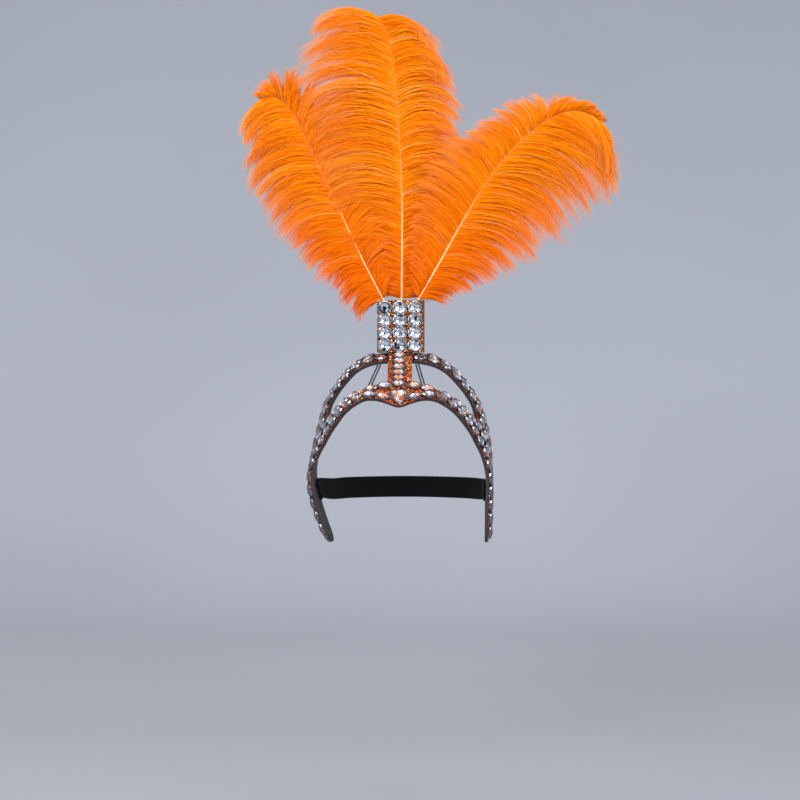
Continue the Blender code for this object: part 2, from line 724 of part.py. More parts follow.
def make_brace(name, top, bottom, finish):
    """A hairpin of black wire: two legs side by side, joined by a bend at the lower end."""
    curve = bpy.data.curves.new(name, "CURVE")
    curve.dimensions = "3D"
    curve.bevel_depth = WIRE_RADIUS * MM
    curve.bevel_resolution = 1
    curve.use_fill_caps = True
    side = Vector((HAIRPIN_HALF_WIDTH, 0, 0))
    turn = (bottom - top).normalized() * HAIRPIN_BEND
    route = [top - side, top.lerp(bottom, 0.5) - side, bottom - side, bottom - side * 0.55 + turn,
             bottom + side * 0.55 + turn, bottom + side, top.lerp(bottom, 0.5) + side, top + side]
    spline = curve.splines.new("POLY")
    spline.points.add(len(route) - 1)
    for point, place in zip(spline.points, route):
        point.co = (*((place - Vector((0, SEAT_DEPTH, 0))) * MM), 1.0)
    obj = bpy.data.objects.new(name, curve)
    bpy.context.scene.collection.objects.link(obj)
    curve.materials.append(finish)


def make_braces(finish):
    """Each hairpin runs from under the arch to the back of the band."""
    for brace in BRACES:
        ends = []
        for strip, t in (("arch", brace.arch_section), ("band", brace.band_section)):
            out = strip_axes(strip, t, BRACE_ACROSS[strip], brace.side)[2]
            depth = FOAM + GAP + WIRE_RADIUS + BRACE_CLEARANCE[strip]
            ends.append(strip_point(strip, t, BRACE_ACROSS[strip], brace.side) - out * depth)
        make_brace(brace.name, *ends, finish)


def glued_station(side, across):
    """A point just inside the flap, where the strap is glued, and the flap's outward direction there."""
    out = strip_axes("arch", STRAP_SECTION, across, side)[2]
    inner = FOAM + 2 * GAP + STRAP_THICKNESS / 2 + (BEND_CLEARANCE if side < 0 else 0)
    return strip_point("arch", STRAP_SECTION, across, side) - out * inner, out


def free_station(x, y):
    """A point of the strap round the back of the head, and the direction away from the head there."""
    return Vector((x, y, STRAP_HEIGHT)), Vector((x, y - HEAD_CENTRE_Y, 0)).normalized()


def make_strap(finish):
    """A flat band from flap to flap, round the back of the head."""
    ends = [[glued_station(side, across) for across in (0.3, 0.62, 0.94)] for side in (-1, 1)]
    back = [free_station(*place) for place in STRAP_BACK]
    knots = [*ends[0], *back, *reversed(ends[1])]
    count = 2 * (len(knots) - 1)
    path = [smooth_point([point for point, _ in knots], i / 2) for i in range(count + 1)]
    outs = [smooth_point([out for _, out in knots], i / 2).normalized() for i in range(count + 1)]
    rings = []
    for i, (point, out) in enumerate(zip(path, outs)):
        run = path[min(i + 1, count)] - path[max(i - 1, 0)]
        up = run.cross(out).normalized()
        near_end = max(0.0, 1 - min(i, count - i) / 7)
        up *= (STRAP_WIDTH + (STRAP_END_WIDTH - STRAP_WIDTH) * near_end) / 2
        thick = out * STRAP_THICKNESS / 2
        rings.append([point - thick - up, point + thick - up, point + thick + up, point - thick + up])
    bm = bmesh.new()
    loft(bm, rings)
    add_object("strap", bm, finish, smooth=True)


def main():
    clear_scene()
    foam = material("charcoal_foam", (0.035, 0.037, 0.042), 0.85)
    glitter = material("copper_glitter", (0.28, 0.09, 0.03), 0.35, 0.7)
    crystal = material("clear_crystal", (0.75, 0.77, 0.82), 0.05, 0.3)
    orange = material("orange_plume", (0.90, 0.20, 0.012), 0.7)
    elastic = material("black_elastic", (0.006, 0.006, 0.007), 0.75)
    wire = material("black_wire", (0.012, 0.012, 0.014), 0.35)
    make_foam_frame(foam)
    make_facings(glitter)
    make_tower(foam, glitter)
    make_tower_stones(crystal)
    make_post_stones(crystal)
    make_band_stones(-1, "band_stones_left", crystal)
    make_band_stones(1, "band_stones_right", crystal)
    make_braces(wire)
    make_strap(elastic)
    for name in PLUMES:
        make_plume(name, orange)


main()
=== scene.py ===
"""Looks of the carnival feather headdress: foam, glitter sheet, claw-set crystals, elastic, wire, plumes."""

import math
from collections import namedtuple

import bmesh
import bpy
import numpy as np
from mathutils import Matrix, Vector


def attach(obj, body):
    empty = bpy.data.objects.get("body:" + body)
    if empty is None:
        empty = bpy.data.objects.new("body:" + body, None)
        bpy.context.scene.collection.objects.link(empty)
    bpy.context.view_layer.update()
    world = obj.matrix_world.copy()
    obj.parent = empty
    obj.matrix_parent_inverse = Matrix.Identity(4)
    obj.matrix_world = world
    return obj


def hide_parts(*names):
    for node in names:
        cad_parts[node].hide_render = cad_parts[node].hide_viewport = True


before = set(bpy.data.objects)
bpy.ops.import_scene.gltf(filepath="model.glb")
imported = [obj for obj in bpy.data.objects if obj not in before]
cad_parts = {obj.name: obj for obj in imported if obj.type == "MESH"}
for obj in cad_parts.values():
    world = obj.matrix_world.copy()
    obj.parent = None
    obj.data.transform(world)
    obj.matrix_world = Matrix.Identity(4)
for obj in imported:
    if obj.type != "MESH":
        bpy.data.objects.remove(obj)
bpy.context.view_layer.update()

MM = 0.001
# The tables are in millimetres, and their y starts this far inside the foam.
SEAT_DEPTH = 1.65
GAP = 0.3
FOAM = 2.9
FACING = 0.8
FACING_TOP = GAP + FACING
STONE_SEAT = FACING_TOP + GAP
ROUNDING = {"shell": 0.7, "post": 0.6, "sheet": 0.25, "wrap": 0.2}

POST_HALF_WIDTH = 12.8
POST_LEAN = math.radians(33)
POST_FOOT = (9.4, 17.0)
POST_TOP_Z = 49.9
POST_RECESS = 0.4
POST_LENGTH = (POST_TOP_Z - POST_FOOT[1]) / math.cos(POST_LEAN)
# Where the foam and the sheet of the post start along it, from its foot.
POST_FOAM_START = -3.5
POST_SHEET_START = 2.2
# The section number where the arch's sheet starts, just clear of the post.
ARCH_SHEET_START = 1 + (GAP + 0.2) / 13

TOWER_HALF_WIDTH = 23.2
WRAP_FOLD = 1.4
WRAP_CORNER = 1.1
TOWER_FRONT = 28.0
TOWER_BACK = 53.0
TOWER_BOTTOM = 50.4
TOWER_TOP = 105.2

STRAP_WIDTH = 23.5
STRAP_END_WIDTH = 20.0
STRAP_THICKNESS = 1.5
STRAP_HEIGHT = -97.5
STRAP_SECTION = 11.35
STRAP_GLUED_ACROSS = (0.3, 0.62, 0.94)
BEND_CLEARANCE = 1.1
HEAD_CENTRE_Y = 96.0
STRAP_BACK = [(-79, 122), (-66, 150), (-45, 172), (-20, 185), (0, 188),
              (20, 185), (45, 172), (69, 150), (84, 122)]
# The strap's end face, as shares of half its width and half its thickness.
STRAP_PROFILE = ((-1, -0.55), (-0.98, -1), (0.98, -1), (1, -0.55),
                 (1, 0.55), (0.98, 1), (-0.98, 1), (-1, 0.55))
STEPS_PER_KNOT = 8
TAPER_KNOTS = 3.5

WIRE_RADIUS = 0.8
WIRE_SIDES = 12
Brace = namedtuple("Brace", "name side arch_section band_section")
BRACES = [Brace("brace_left", -1, 1.8, 2.95), Brace("brace_right", 1, 1.4, 2.2)]
BRACE_ACROSS = {"arch": 0.12, "band": 0.86}
BRACE_CLEARANCE = {"arch": 0.6, "band": 0.7}
HAIRPIN_HALF_WIDTH = 1.45
HAIRPIN_BEND = 1.2
HAIRPIN_STEPS = 8

# The frame's four edge curves on the right half, from the forehead to the flap's tip.
Section = namedtuple("Section", "front band arch rear")
SECTIONS = [
    Section((0, -7.1, -6.3), (0, 9.4, 17), (0, 27.3, 41.5), (0, 46, 49.5)),
    Section((13, -4.5, -2.4), (13, 10.4, 18), (13, 28, 41), (13, 46.5, 49.2)),
    Section((25, -2, 0.8), (26, 11.8, 14.5), (26, 30, 39.5), (27.4, 48.5, 47.5)),
    Section((37.5, 3.2, 0.2), (38.5, 15.6, 10.3), (38, 33.5, 36), (41.8, 52, 41.4)),
    Section((49.5, 11, -6), (50, 22, 5), (49.5, 38.5, 29.3), (54.6, 56.5, 31.9)),
    Section((59.5, 20, -14), (60, 30.5, -2.5), (60, 44.5, 18.5), (66.2, 62, 19)),
    Section((68, 30, -24.5), (69, 40.5, -12), (69, 50.5, 7.3), (75.4, 68, 5.8)),
    Section((75, 40, -35), (76.5, 51.5, -20.8), (77, 57, -7), (82, 73.5, -6.4)),
    Section((80.8, 49, -46.5), (82.5, 62, -28.5), (82.5, 62, -28.5), (86.8, 79, -21)),
    Section((87.3, 56, -60.5), (88.5, 70, -46.5), (88.5, 70, -46.5), (89.8, 87, -39)),
    Section((91.7, 61, -78), (91.7, 76.5, -69), (91.7, 76.5, -69), (91.5, 93, -61)),
    Section((92.8, 64, -99), (92.6, 79, -93), (92.6, 79, -93), (91.6, 95, -87)),
    Section((92.4, 68, -120), (92, 80.5, -117), (92, 80.5, -117), (91.1, 93.5, -113)),
    Section((91.9, 73, -139), (91.5, 81, -138.5), (91.5, 81, -138.5), (90.9, 89.4, -136.5)),
    Section((91.3, 77.4, -148.6), (91.1, 82, -149), (91.1, 82, -149), (90.9, 86.5, -147.6)),
    Section((91.1, 80.8, -152.6), (91.1, 82.3, -153.2), (91.1, 82.3, -153.2), (91, 83.8, -152.6)),
]
WINDOW_END = 8
LAST = len(SECTIONS) - 1
COLUMNS_PER_SECTION = 6
# How the left half departs from the right: its flap bends and turns inwards, and its side stands further out.
BEND = {"start": -88.0, "span": 65.0, "inward": 17.9, "power": 1.5}
REAR_TURN = {"start": -80.0, "span": 60.0, "inward": 2.6}
LEFT_SPREAD = {"start": -25.0, "span": 50.0, "outward": 5.2}

# Rows of stones: the strip, the edge they follow and their distance from it, and where they start and end
# along the row, from the centre line.
StoneRow = namedtuple("StoneRow", "strip edge inset first last")
STONE_ROWS = [
    StoneRow("band", "low", 4.8, 17.6, 280),
    StoneRow("arch", "high", 4.7, 34.0, 280),
    StoneRow("band", "high", 4.4, 15.0, 220),
    StoneRow("arch", "low", 4.6, 20.0, 220),
    StoneRow("band", "high", 0.3, 160.0, 285),
]
EDGE_MARGIN = 3.0
ROW_END = 6.0
ROW_STEP = 0.5
NAVETTES = {"navette": (14.2, 7.8), "post_navette": (14.0, 7.4)}
NAVETTE_FULLNESS = 3.0
NAVETTE_PITCH = 14.75
NEIGHBOUR = {"along": 14.5, "across": 7.0, "taper": 15.0, "gap": 0.2}
POST_STONES = {"count": 6, "first": -1.2, "pitch": 7.1, "x": -0.9, "over_facing": 0.4}
ROUND_STONE = 13.2
TOWER_STONES = {"rows": 4, "columns": 3, "x": -0.6, "x_pitch": 15.9, "top_z": 97.2, "z_pitch": 13.25,
                "lift": 0.1}
PEAR = {"size": 18.0, "fullness": 1.3, "across": 0.36, "lift": 0.2}
# A cut stone's levels: height over its seat, outline scale, corners, and whether they turn by half a step.
StoneLevel = namedtuple("StoneLevel", "height scale corners turned")
STONE_LEVELS = [
    StoneLevel(0.35, 0.22, 8, False),
    StoneLevel(1.55, 0.97, 16, False),
    StoneLevel(1.80, 0.97, 16, False),
    StoneLevel(3.05, 0.76, 8, True),
    StoneLevel(3.75, 0.50, 8, False),
]
# A claw cup's wall: outline scale and height, from under the stone over the rim and back inside it.
CUP_LEVELS = ((0.62, 0.1), (1.02, 0.12), (1.07, 1.45), (0.99, 1.95), (0.97, 1.7))
CUP_CORNERS = 16
CUP_WALL = 0.28
CLAW_CORNERS = {"round": (2, 6, 10, 14), "pear": (0, 3, 8, 13),
                "navette": (0, 3, 5, 8, 11, 13), "post_navette": (0, 3, 5, 8, 11, 13)}
# A claw stands on the outline at this scale and bends inwards: distance towards the middle, and height.
CLAW_FOOT = 1.08
CLAW_PATH = ((0.0, 0.3), (0.0, 1.7), (0.75, 2.55), (1.6, 2.7))
CLAW_HALF_WIDTH = 0.55
CLAW_TIP = 0.4

# Plumes: depth at foot and tip, quill points (x, z), and rows that give, at a share of the quill's length,
# each side's barb length, its angle to the quill and how far it droops, in degrees.
Vane = namedtuple("Vane", "at left right left_angle right_angle left_droop right_droop")
PLUMES = {
    "plume_left": {
        "depth": (38.0, 74.0),
        "quill": [(-18.5, 106.5), (-40.6, 148.7), (-56.6, 182.2), (-72.5, 216.9), (-85.9, 244.7),
                  (-97.3, 267), (-106.7, 287.1), (-114, 301.6), (-122.6, 314.6), (-131.1, 323.2),
                  (-140, 327), (-150, 325.5)],
        "vanes": [
            Vane(0.00, 38, 26, 70, 40, 75, 40),
            Vane(0.08, 47, 36, 62, 50, 72, 55),
            Vane(0.18, 60, 50, 56, 52, 68, 60),
            Vane(0.32, 75, 62, 55, 52, 68, 62),
            Vane(0.46, 88, 66, 54, 50, 70, 62),
            Vane(0.66, 87, 62, 53, 48, 74, 55),
            Vane(0.80, 77, 58, 55, 38, 84, 30),
            Vane(0.88, 71, 45, 48, 40, 90, 30),
            Vane(0.95, 64, 28, 34, 48, 90, 40),
            Vane(1.00, 50, 13, 15, 46, 78, 40),
        ],
    },
    "plume_centre": {
        "depth": (43.5, 46.0),
        "quill": [(0.6, 107.1), (1, 160), (1, 210), (-1, 260), (-2.6, 286), (-5, 318), (-8, 349.8),
                  (-12, 376.3), (-16.8, 392.8), (-24.5, 406.5)],
        "vanes": [
            Vane(0.00, 34, 34, 64, 64, 60, 60),
            Vane(0.08, 56, 50, 60, 60, 62, 62),
            Vane(0.17, 74, 64, 60, 60, 62, 70),
            Vane(0.34, 92, 74, 60, 59, 62, 76),
            Vane(0.50, 112, 80, 57, 57, 66, 86),
            Vane(0.65, 118, 80, 55, 56, 68, 98),
            Vane(0.78, 119, 78, 54, 56, 70, 108),
            Vane(0.90, 102, 70, 44, 70, 74, 100),
            Vane(0.95, 90, 58, 35, 88, 70, 82),
            Vane(1.00, 80, 46, 27, 110, 70, 60),
        ],
    },
    "plume_right": {
        "depth": (34.0, 10.0),
        "quill": [(18.8, 106.5), (41.4, 145.2), (61.4, 180.6), (88.2, 224), (117.5, 260.8), (147.5, 287.3),
                  (162.5, 296.2), (172, 299.8), (185, 300.8), (198, 297.5), (208, 291)],
        "vanes": [
            Vane(0.00, 24, 30, 40, 44, 50, 50),
            Vane(0.08, 36, 50, 52, 50, 60, 58),
            Vane(0.20, 54, 76, 58, 54, 60, 62),
            Vane(0.32, 64, 98, 60, 53, 55, 66),
            Vane(0.47, 75, 116, 61, 50, 62, 72),
            Vane(0.55, 64, 123, 62, 45, 90, 74),
            Vane(0.65, 54, 127, 63, 38, 115, 74),
            Vane(0.77, 38, 117, 58, 42, 115, 72),
            Vane(0.86, 25, 101, 54, 38, 105, 66),
            Vane(0.94, 16, 79, 58, 28, 64, 56),
            Vane(1.00, 11, 51, 52, 15, 50, 48),
        ],
    },
}
QUILL_DEPTH = 24.0
QUILL_RADIUS = (1.15, 0.35)
QUILL_STEPS = 60
QUILL_SIDES = 10
FIRST_SEED = 20
# How far locks sway forwards or back at the foot and at the tip, and how far a 90 mm barb curls back.
LOCK_SWAY = (7.0, 15.0)
BACK_CURL = 7.0
# Strands stand evenly along the quill and draw together outwards, into tufts and then into locks. Each kind
# has its count in a vane, range of length, spread of angle, droop, sway and place, and its pull.
Clump = namedtuple("Clump", "count length angle droop sway place pull")
LOCKS = Clump(34, (0.92, 1.03), 2.8, 0.08, 0.75, 0.30, 0.30)
TUFTS = Clump(165, (0.84, 1.04), 1.9, 0.07, 0.70, 0.35, 0.42)
ROOT_PULL = 0.2
STRANDS_PER_VANE = 5600
STRAND_STEPS = 10
STRAND_WIDTH = 0.55
STRAND_SHORTENING = 0.5
STRAND_NOISE = {"angle": 0.8, "droop": 0.05, "fan": 0.95, "wave": 0.45, "depth": 2.6}
FLYAWAY = {"share": 0.04, "last": 0.93, "angle": (-13, 13), "droop": (-0.5, 0.3), "pull": 0.15}
HOOK = {"share": 0.16, "start": 0.86, "side": 2.6, "back": 3.2}
TONE_SPREAD = {"lock": 0.04, "tuft": 0.09, "strand": 0.19}
RIBBON_TILT = 0.8
FUZZ_PER_STRAND = 4
FUZZ_LENGTH = 2.4
FUZZ_HALF_WIDTH = 0.15
DOWN_END = 0.13
DOWN_LENGTH = 5.0
# A small step on the map, so that no face of a strand has an empty place there.
MAP_STEP = 0.008

# Glitter flake colours by share of flakes: copper with painted shade at the dark end, painted glints at the
# pale end.
FLAKE_SHARES = (0.0, 0.4, 0.66, 0.88, 0.98)
BAND_FLAKE_TONES_AND_GLINTS = ("#2c0e04", "#7c2c08", "#b44c12", "#e07c38", "#ffd0a0")
TOWER_FLAKE_TONES_AND_GLINTS = ("#1c0a04", "#5a2a10", "#8e4c1e", "#d08a48", "#ffdcb0")
# Foil tones per patch, dark to white: painted reflections of the room.
ROUND_FOIL_REFLECTIONS = [(0.0, "#10172c"), (0.1, "#46506c"), (0.16, "#c4c7d2"), (0.45, "#f0f1f6"), (0.7, "#ffffff")]
NAVETTE_FOIL_REFLECTIONS = [(0.0, "#7c7f88"), (0.12, "#b8bac3"), (0.4, "#dcdee4"), (0.7, "#f6f6f9"), (1.0, "#ffffff")]

# Camera: level with the forehead, three degrees to the viewer's right, 1.05 mm to a pixel.
CAMERA_TARGET = Vector((0, 0.02, 0))
CAMERA_DISTANCE = 2.2
CAMERA_AZIMUTH = math.radians(3)
VIEW_WIDTH = 0.84
SENSOR = 36.0

# Set, in metres: a pale floor that turns up into a backdrop, and soft studio light.
FLOOR_Z = -0.42
FLOOR_REACH = 14.0
BACKDROP_Y = 2.9
BACKDROP_HEIGHT = 3.0
BACKDROP_BEND = 1.3
LIGHT_AIM = Vector((0, 0.03, 0.1))
Softbox = namedtuple("Softbox", "name place size power colour")
SOFTBOXES = [
    Softbox("key_softbox", (-1.0, -2.1, 1.2), (1.1, 1.1), 50, "#ffffff"),
    Softbox("fill_softbox", (1.5, -1.9, 0.6), (1.0, 1.4), 27, "#f6f8ff"),
    Softbox("top_softbox", (0.1, 0.2, 1.9), (1.4, 1.0), 16, "#ffffff"),
]


def linear(code):
    """A colour socket's value from an sRGB hex code."""
    parts = [int(code[i:i + 2], 16) / 255 for i in (1, 3, 5)]
    return (*[c / 12.92 if c <= 0.04045 else ((c + 0.055) / 1.055) ** 2.4 for c in parts], 1.0)


def fill(node, inputs):
    """Sets a node's sockets, each by its value or by a link from another node's socket."""
    for name, value in inputs.items():
        if isinstance(value, bpy.types.NodeSocket):
            node.id_data.links.new(value, node.inputs[name])
        else:
            node.inputs[name].default_value = value


def add(owner, kind, inputs=None, stops=None, out=0, **settings):
    """Adds a node to a material or the world, with its settings, colour stops, values and links, and gives
    its output. On a Mix of colours, socket 0 is the share, 6 and 7 the two colours, and 2 the output."""
    made = owner.node_tree.nodes.new("ShaderNode" + kind)
    for name, value in settings.items():
        setattr(made, name, value)
    if stops:
        elements = made.color_ramp.elements
        while len(elements) < len(stops):
            elements.new(0.5)
        for element, (place, code) in zip(elements, stops):
            element.position, element.color = place, linear(code)
    fill(made, inputs or {})
    return made.outputs[out]


def new_material(name):
    made = bpy.data.materials.new(name)
    made.use_nodes = True
    return made


def with_surface(material, inputs):
    """The material with its surface shader's sockets set."""
    fill(material.node_tree.nodes["Principled BSDF"], inputs)
    return material


def per_metre(size_mm):
    """A texture scale for a pattern of this size, on coordinates in metres."""
    return 1000 / size_mm


def wave_scale(pair_mm):
    """A wave texture's scale for two ribs in this length, on a map in millimetres."""
    return 0.625 / pair_mm


def eva_foam():
    """Cut EVA foam: dull charcoal with a fine closed-cell grain, which scatters light softly."""
    made = new_material("eva_foam")
    place = add(made, "TexCoord", out="Object")
    mottle = add(made, "TexNoise", {"Vector": place, "Scale": per_metre(9), "Detail": 3.0})
    shade = add(made, "ValToRGB", {"Fac": mottle}, stops=[(0.3, "#26272d"), (0.7, "#33343b")])
    cells = add(made, "TexNoise", {"Vector": place, "Scale": per_metre(0.9), "Detail": 2.0})
    bump = add(made, "Bump", {"Height": cells, "Strength": 0.25, "Distance": 0.0003})
    return with_surface(made, {"Base Color": shade, "Normal": bump, "Roughness": 0.62})


def glitter_sheet(name, tones):
    """PET glitter film: copper flakes about 0.6 mm across, each tilted its own way, so some flash and some
    stay dark. Each flake's colour is also painted from near black to pale peach: painted shade and painted
    glints on the copper. The flakes are drawn 1 mm across so that they show."""
    made = new_material(name)
    place = add(made, "TexCoord", out="Object")
    flakes = add(made, "TexVoronoi", {"Vector": place, "Scale": per_metre(1.0)}, out="Color")
    parts = add(made, "SeparateColor", {"Color": flakes}).node.outputs
    # Each flake is painted its own tone, near black to pale: painted shade and painted glints.
    shade = add(made, "ValToRGB", {"Fac": parts["Red"]}, stops=list(zip(FLAKE_SHARES, tones)))
    tilt = add(made, "VectorMath", {0: flakes, 1: (0.5, 0.5, 0.5)}, operation="SUBTRACT")
    scaled = add(made, "VectorMath", {0: tilt, "Scale": 1.1}, operation="SCALE")
    facing = add(made, "NewGeometry", out="Normal")
    turned = add(made, "VectorMath", {0: facing, 1: scaled}, operation="ADD")
    normal = add(made, "VectorMath", {0: turned}, operation="NORMALIZE")
    gloss = add(made, "MapRange", {"Value": parts["Green"], "To Min": 0.22, "To Max": 0.5})
    return with_surface(made, {"Base Color": shade, "Normal": normal, "Roughness": gloss, "Metallic": 0.75})


def cut_crystal():
    """Lead-free cut glass: clear, with sharp facets that bend and split the room into light and dark."""
    made = new_material("clear_cut_crystal")
    return with_surface(made, {"Base Color": linear("#f4f6fb"), "Transmission Weight": 1.0, "IOR": 1.56,
                               "Roughness": 0.01})


def foil_with_painted_reflections(name, tones, patch, gloss, copper_reflection_share):
    """Foil behind the stones: a mirror that sends the light back out through the facets. Its colour is
    painted reflection, uneven from one facet to the next: patches painted from dark to white. Near the
    forehead some patches get a painted copper reflection of the sheet and the plumes."""
    made = new_material(name)
    place = add(made, "TexCoord", out="Object")
    patches = add(made, "TexVoronoi", {"Vector": place, "Scale": per_metre(patch)}, out="Color")
    parts = add(made, "SeparateColor", {"Color": patches}).node.outputs
    shade = add(made, "ValToRGB", {"Fac": parts["Red"]}, stops=tones)
    # Patches near the forehead are mixed with copper: a painted reflection of the sheet and the plumes.
    away = add(made, "VectorMath", {0: place, 1: (0.0, 0.01, 0.012)}, out="Value", operation="DISTANCE")
    near = add(made, "MapRange", {"Value": away, "From Min": 0.012, "From Max": 0.08,
                                  "To Min": copper_reflection_share, "To Max": copper_reflection_share * 0.4})
    copper_reflection_patch = add(made, "Math", {0: parts["Green"], 1: near}, operation="LESS_THAN")
    mixed = add(made, "Mix", {0: copper_reflection_patch, 6: shade, 7: linear("#f2a07c")}, out=2, data_type="RGBA")
    return with_surface(made, {"Base Color": mixed, "Metallic": 1.0, "Roughness": gloss})


def plated_setting(name, code):
    """Plated brass: a slightly rubbed metal cup with claws, lighter on the block, darker on the frame."""
    made = new_material(name)
    place = add(made, "TexCoord", out="Object")
    rubs = add(made, "TexNoise", {"Vector": place, "Scale": per_metre(2.5), "Detail": 3.0})
    gloss = add(made, "MapRange", {"Value": rubs, "To Min": 0.12, "To Max": 0.34})
    return with_surface(made, {"Base Color": linear(code), "Metallic": 1.0, "Roughness": gloss})


def woven_elastic():
    """Woven elastic: matt black polyester over rubber, with fine cross ribs about 0.45 mm apart."""
    made = new_material("black_woven_elastic")
    run = add(made, "UVMap", out="UV", uv_map="strap_run")
    ribs = add(made, "TexWave", {"Vector": run, "Scale": wave_scale(0.9), "Distortion": 0.3}, out="Fac",
               bands_direction="X", wave_profile="SIN")
    yarns = add(made, "TexWave", {"Vector": run, "Scale": wave_scale(0.7), "Distortion": 0.4}, out="Fac",
                bands_direction="Y", wave_profile="SIN")
    weave = add(made, "Math", {0: ribs, 1: yarns}, operation="MULTIPLY")
    bump = add(made, "Bump", {"Height": weave, "Strength": 0.6, "Distance": 0.0004})
    # The weave's low places are painted darker and its ribs lighter: painted shade in the grooves.
    shade = add(made, "ValToRGB", {"Fac": weave}, stops=[(0.0, "#020203"), (1.0, "#09090a")])
    return with_surface(made, {"Base Color": shade, "Normal": bump, "Roughness": 0.85,
                               "Specular IOR Level": 0.2})


def coated_wire():
    """Steel wire in black nylon coating: satin, with a soft long highlight."""
    made = new_material("black_coated_wire")
    place = add(made, "TexCoord", out="Object")
    rubs = add(made, "TexNoise", {"Vector": place, "Scale": per_metre(4), "Detail": 2.0})
    shade = add(made, "ValToRGB", {"Fac": rubs}, stops=[(0.3, "#1b1c1f"), (0.7, "#2a2b30")])
    return with_surface(made, {"Base Color": shade, "Roughness": 0.32})


def ostrich_barbs():
    """Dyed ostrich down: soft orange barbs, deeper near the block, mixed towards pale pink at their tips, a
    painted highlight on the thin tips. Their map holds the share of the way along a strand, and its tone."""
    made = new_material("dyed_ostrich_barbs")
    place = add(made, "TexCoord", out="Object")
    height = add(made, "SeparateXYZ", {"Vector": place}, out="Z")
    near = add(made, "MapRange", {"Value": height, "From Min": 0.11, "From Max": 0.24,
                                  "To Min": 0.75, "To Max": 0.0})
    run = add(made, "UVMap", out="UV", uv_map="OFBake")
    parts = add(made, "SeparateXYZ", {"Vector": run}).node.outputs
    tone = add(made, "ValToRGB", {"Fac": parts["Y"]}, stops=[
        (0.0, "#ea6c00"), (0.3, "#fa8200"), (0.6, "#ff9200"), (0.85, "#ffa324"), (1.0, "#ffbc7c")])
    # Towards the tips the colour is mixed with pale salmon: a painted highlight.
    tip = add(made, "ValToRGB", {"Fac": parts["X"]}, stops=[(0.6, "#000000"), (1.0, "#8c8c8c")])
    tip_highlighted = add(made, "Mix", {0: tip, 6: tone, 7: linear("#f99a5e")}, out=2, data_type="RGBA")
    dyed = add(made, "Mix", {0: near, 6: tip_highlighted, 7: linear("#fb7000")}, out=2, data_type="RGBA")
    return with_surface(made, {"Base Color": dyed, "Roughness": 0.7, "Specular IOR Level": 0.05})


def plume_quill():
    """Ostrich quill: horn, waxy and cream-yellow at the foot, taking the dye further up."""
    made = new_material("ostrich_quill")
    run = add(made, "UVMap", out="UV", uv_map="quill_run")
    along = add(made, "SeparateXYZ", {"Vector": run}, out="X")
    shade = add(made, "ValToRGB", {"Fac": along}, stops=[
        (0.0, "#ffe2ae"), (0.25, "#ffcf8a"), (0.45, "#ee8436"), (1.0, "#c95a12")])
    streaks = add(made, "TexNoise", {"Vector": run, "Scale": 24.0, "Detail": 3.0})
    bump = add(made, "Bump", {"Height": streaks, "Strength": 0.2, "Distance": 0.0002})
    return with_surface(made, {"Base Color": shade, "Normal": bump, "Roughness": 0.38})


def backdrop_paper():
    """Seamless backdrop paper: matt and pale, a little mottled, with painted shade darkening it towards the
    front.
    """
    made = new_material("pale_backdrop_paper")
    place = add(made, "TexCoord", out="Object")
    tint = add(made, "TexNoise", {"Vector": place, "Scale": 0.8, "Detail": 2.0})
    shade = add(made, "ValToRGB", {"Fac": tint}, stops=[(0.3, "#b9bdc5"), (0.7, "#c1c5cd")])
    # Towards the front the paper is mixed with dark grey: painted shade.
    depth = add(made, "SeparateXYZ", {"Vector": place}, out="Y")
    near = add(made, "MapRange", {"Value": depth, "From Min": 0.4, "From Max": 2.6,
                                  "To Min": 0.45, "To Max": 0.0})
    shaded_to_front = add(made, "Mix", {0: near, 6: shade, 7: linear("#50545c")}, out=2, data_type="RGBA")
    return with_surface(made, {"Base Color": shaded_to_front, "Roughness": 0.9})


def link_object(name, data):
    made = bpy.data.objects.new(name, data)
    bpy.context.scene.collection.objects.link(made)
    return made


def link_piece(name, mesh, *finishes):
    """A piece that rides with the part."""
    for finish in finishes:
        mesh.materials.append(finish)
    piece = link_object(name, mesh)
    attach(piece, "root")
    return piece


def to_mesh(name, bm):
    mesh = bpy.data.meshes.new(name)
    bm.to_mesh(mesh)
    bm.free()
    return mesh


def finish_piece(name, bm, *finishes):
    """Turns a bmesh in the tables' millimetres into a piece in metres that rides with the part."""
    bmesh.ops.translate(bm, vec=(0, -SEAT_DEPTH, 0), verts=bm.verts)
    bmesh.ops.scale(bm, vec=(MM, MM, MM), verts=bm.verts)
    return link_piece(name, to_mesh(name, bm), *finishes)


def wall(piece, low, high):
    """Gives an open sheet a wall between two heights over it."""
    modifier = piece.modifiers.new("Wall", "SOLIDIFY")
    modifier.thickness = (high - low) * MM
    modifier.offset = (high + low) / (high - low)
    modifier.use_even_offset = True
    modifier.use_quality_normals = True


def soften(piece, radius):
    """Rounds a piece's hard edges a little."""
    modifier = piece.modifiers.new("Soft edges", "BEVEL")
    modifier.width = radius * MM
    modifier.segments = 2
    modifier.limit_method = "ANGLE"
    modifier.angle_limit = math.radians(50)
    modifier.harden_normals = True
    piece.data.shade_smooth()


def pull_out(bm, edge, vec):
    """Extrudes one edge this far, and gives the new edge."""
    grown = bmesh.ops.extrude_edge_only(bm, edges=[edge])["geom"]
    far = next(item for item in grown if isinstance(item, bmesh.types.BMEdge))
    bmesh.ops.translate(bm, vec=vec, verts=list(far.verts))
    return far


def new_ring(bm, points):
    """A closed loop of edges through the points."""
    verts = [bm.verts.new(point) for point in points]
    return [bm.edges.new((verts[i], verts[i - 1])) for i in range(len(verts))]


def bridge_rings(bm, rings):
    """Joins each loop of edges to the next with faces."""
    for low, high in zip(rings, rings[1:]):
        bmesh.ops.bridge_loops(bm, edges=low + high)


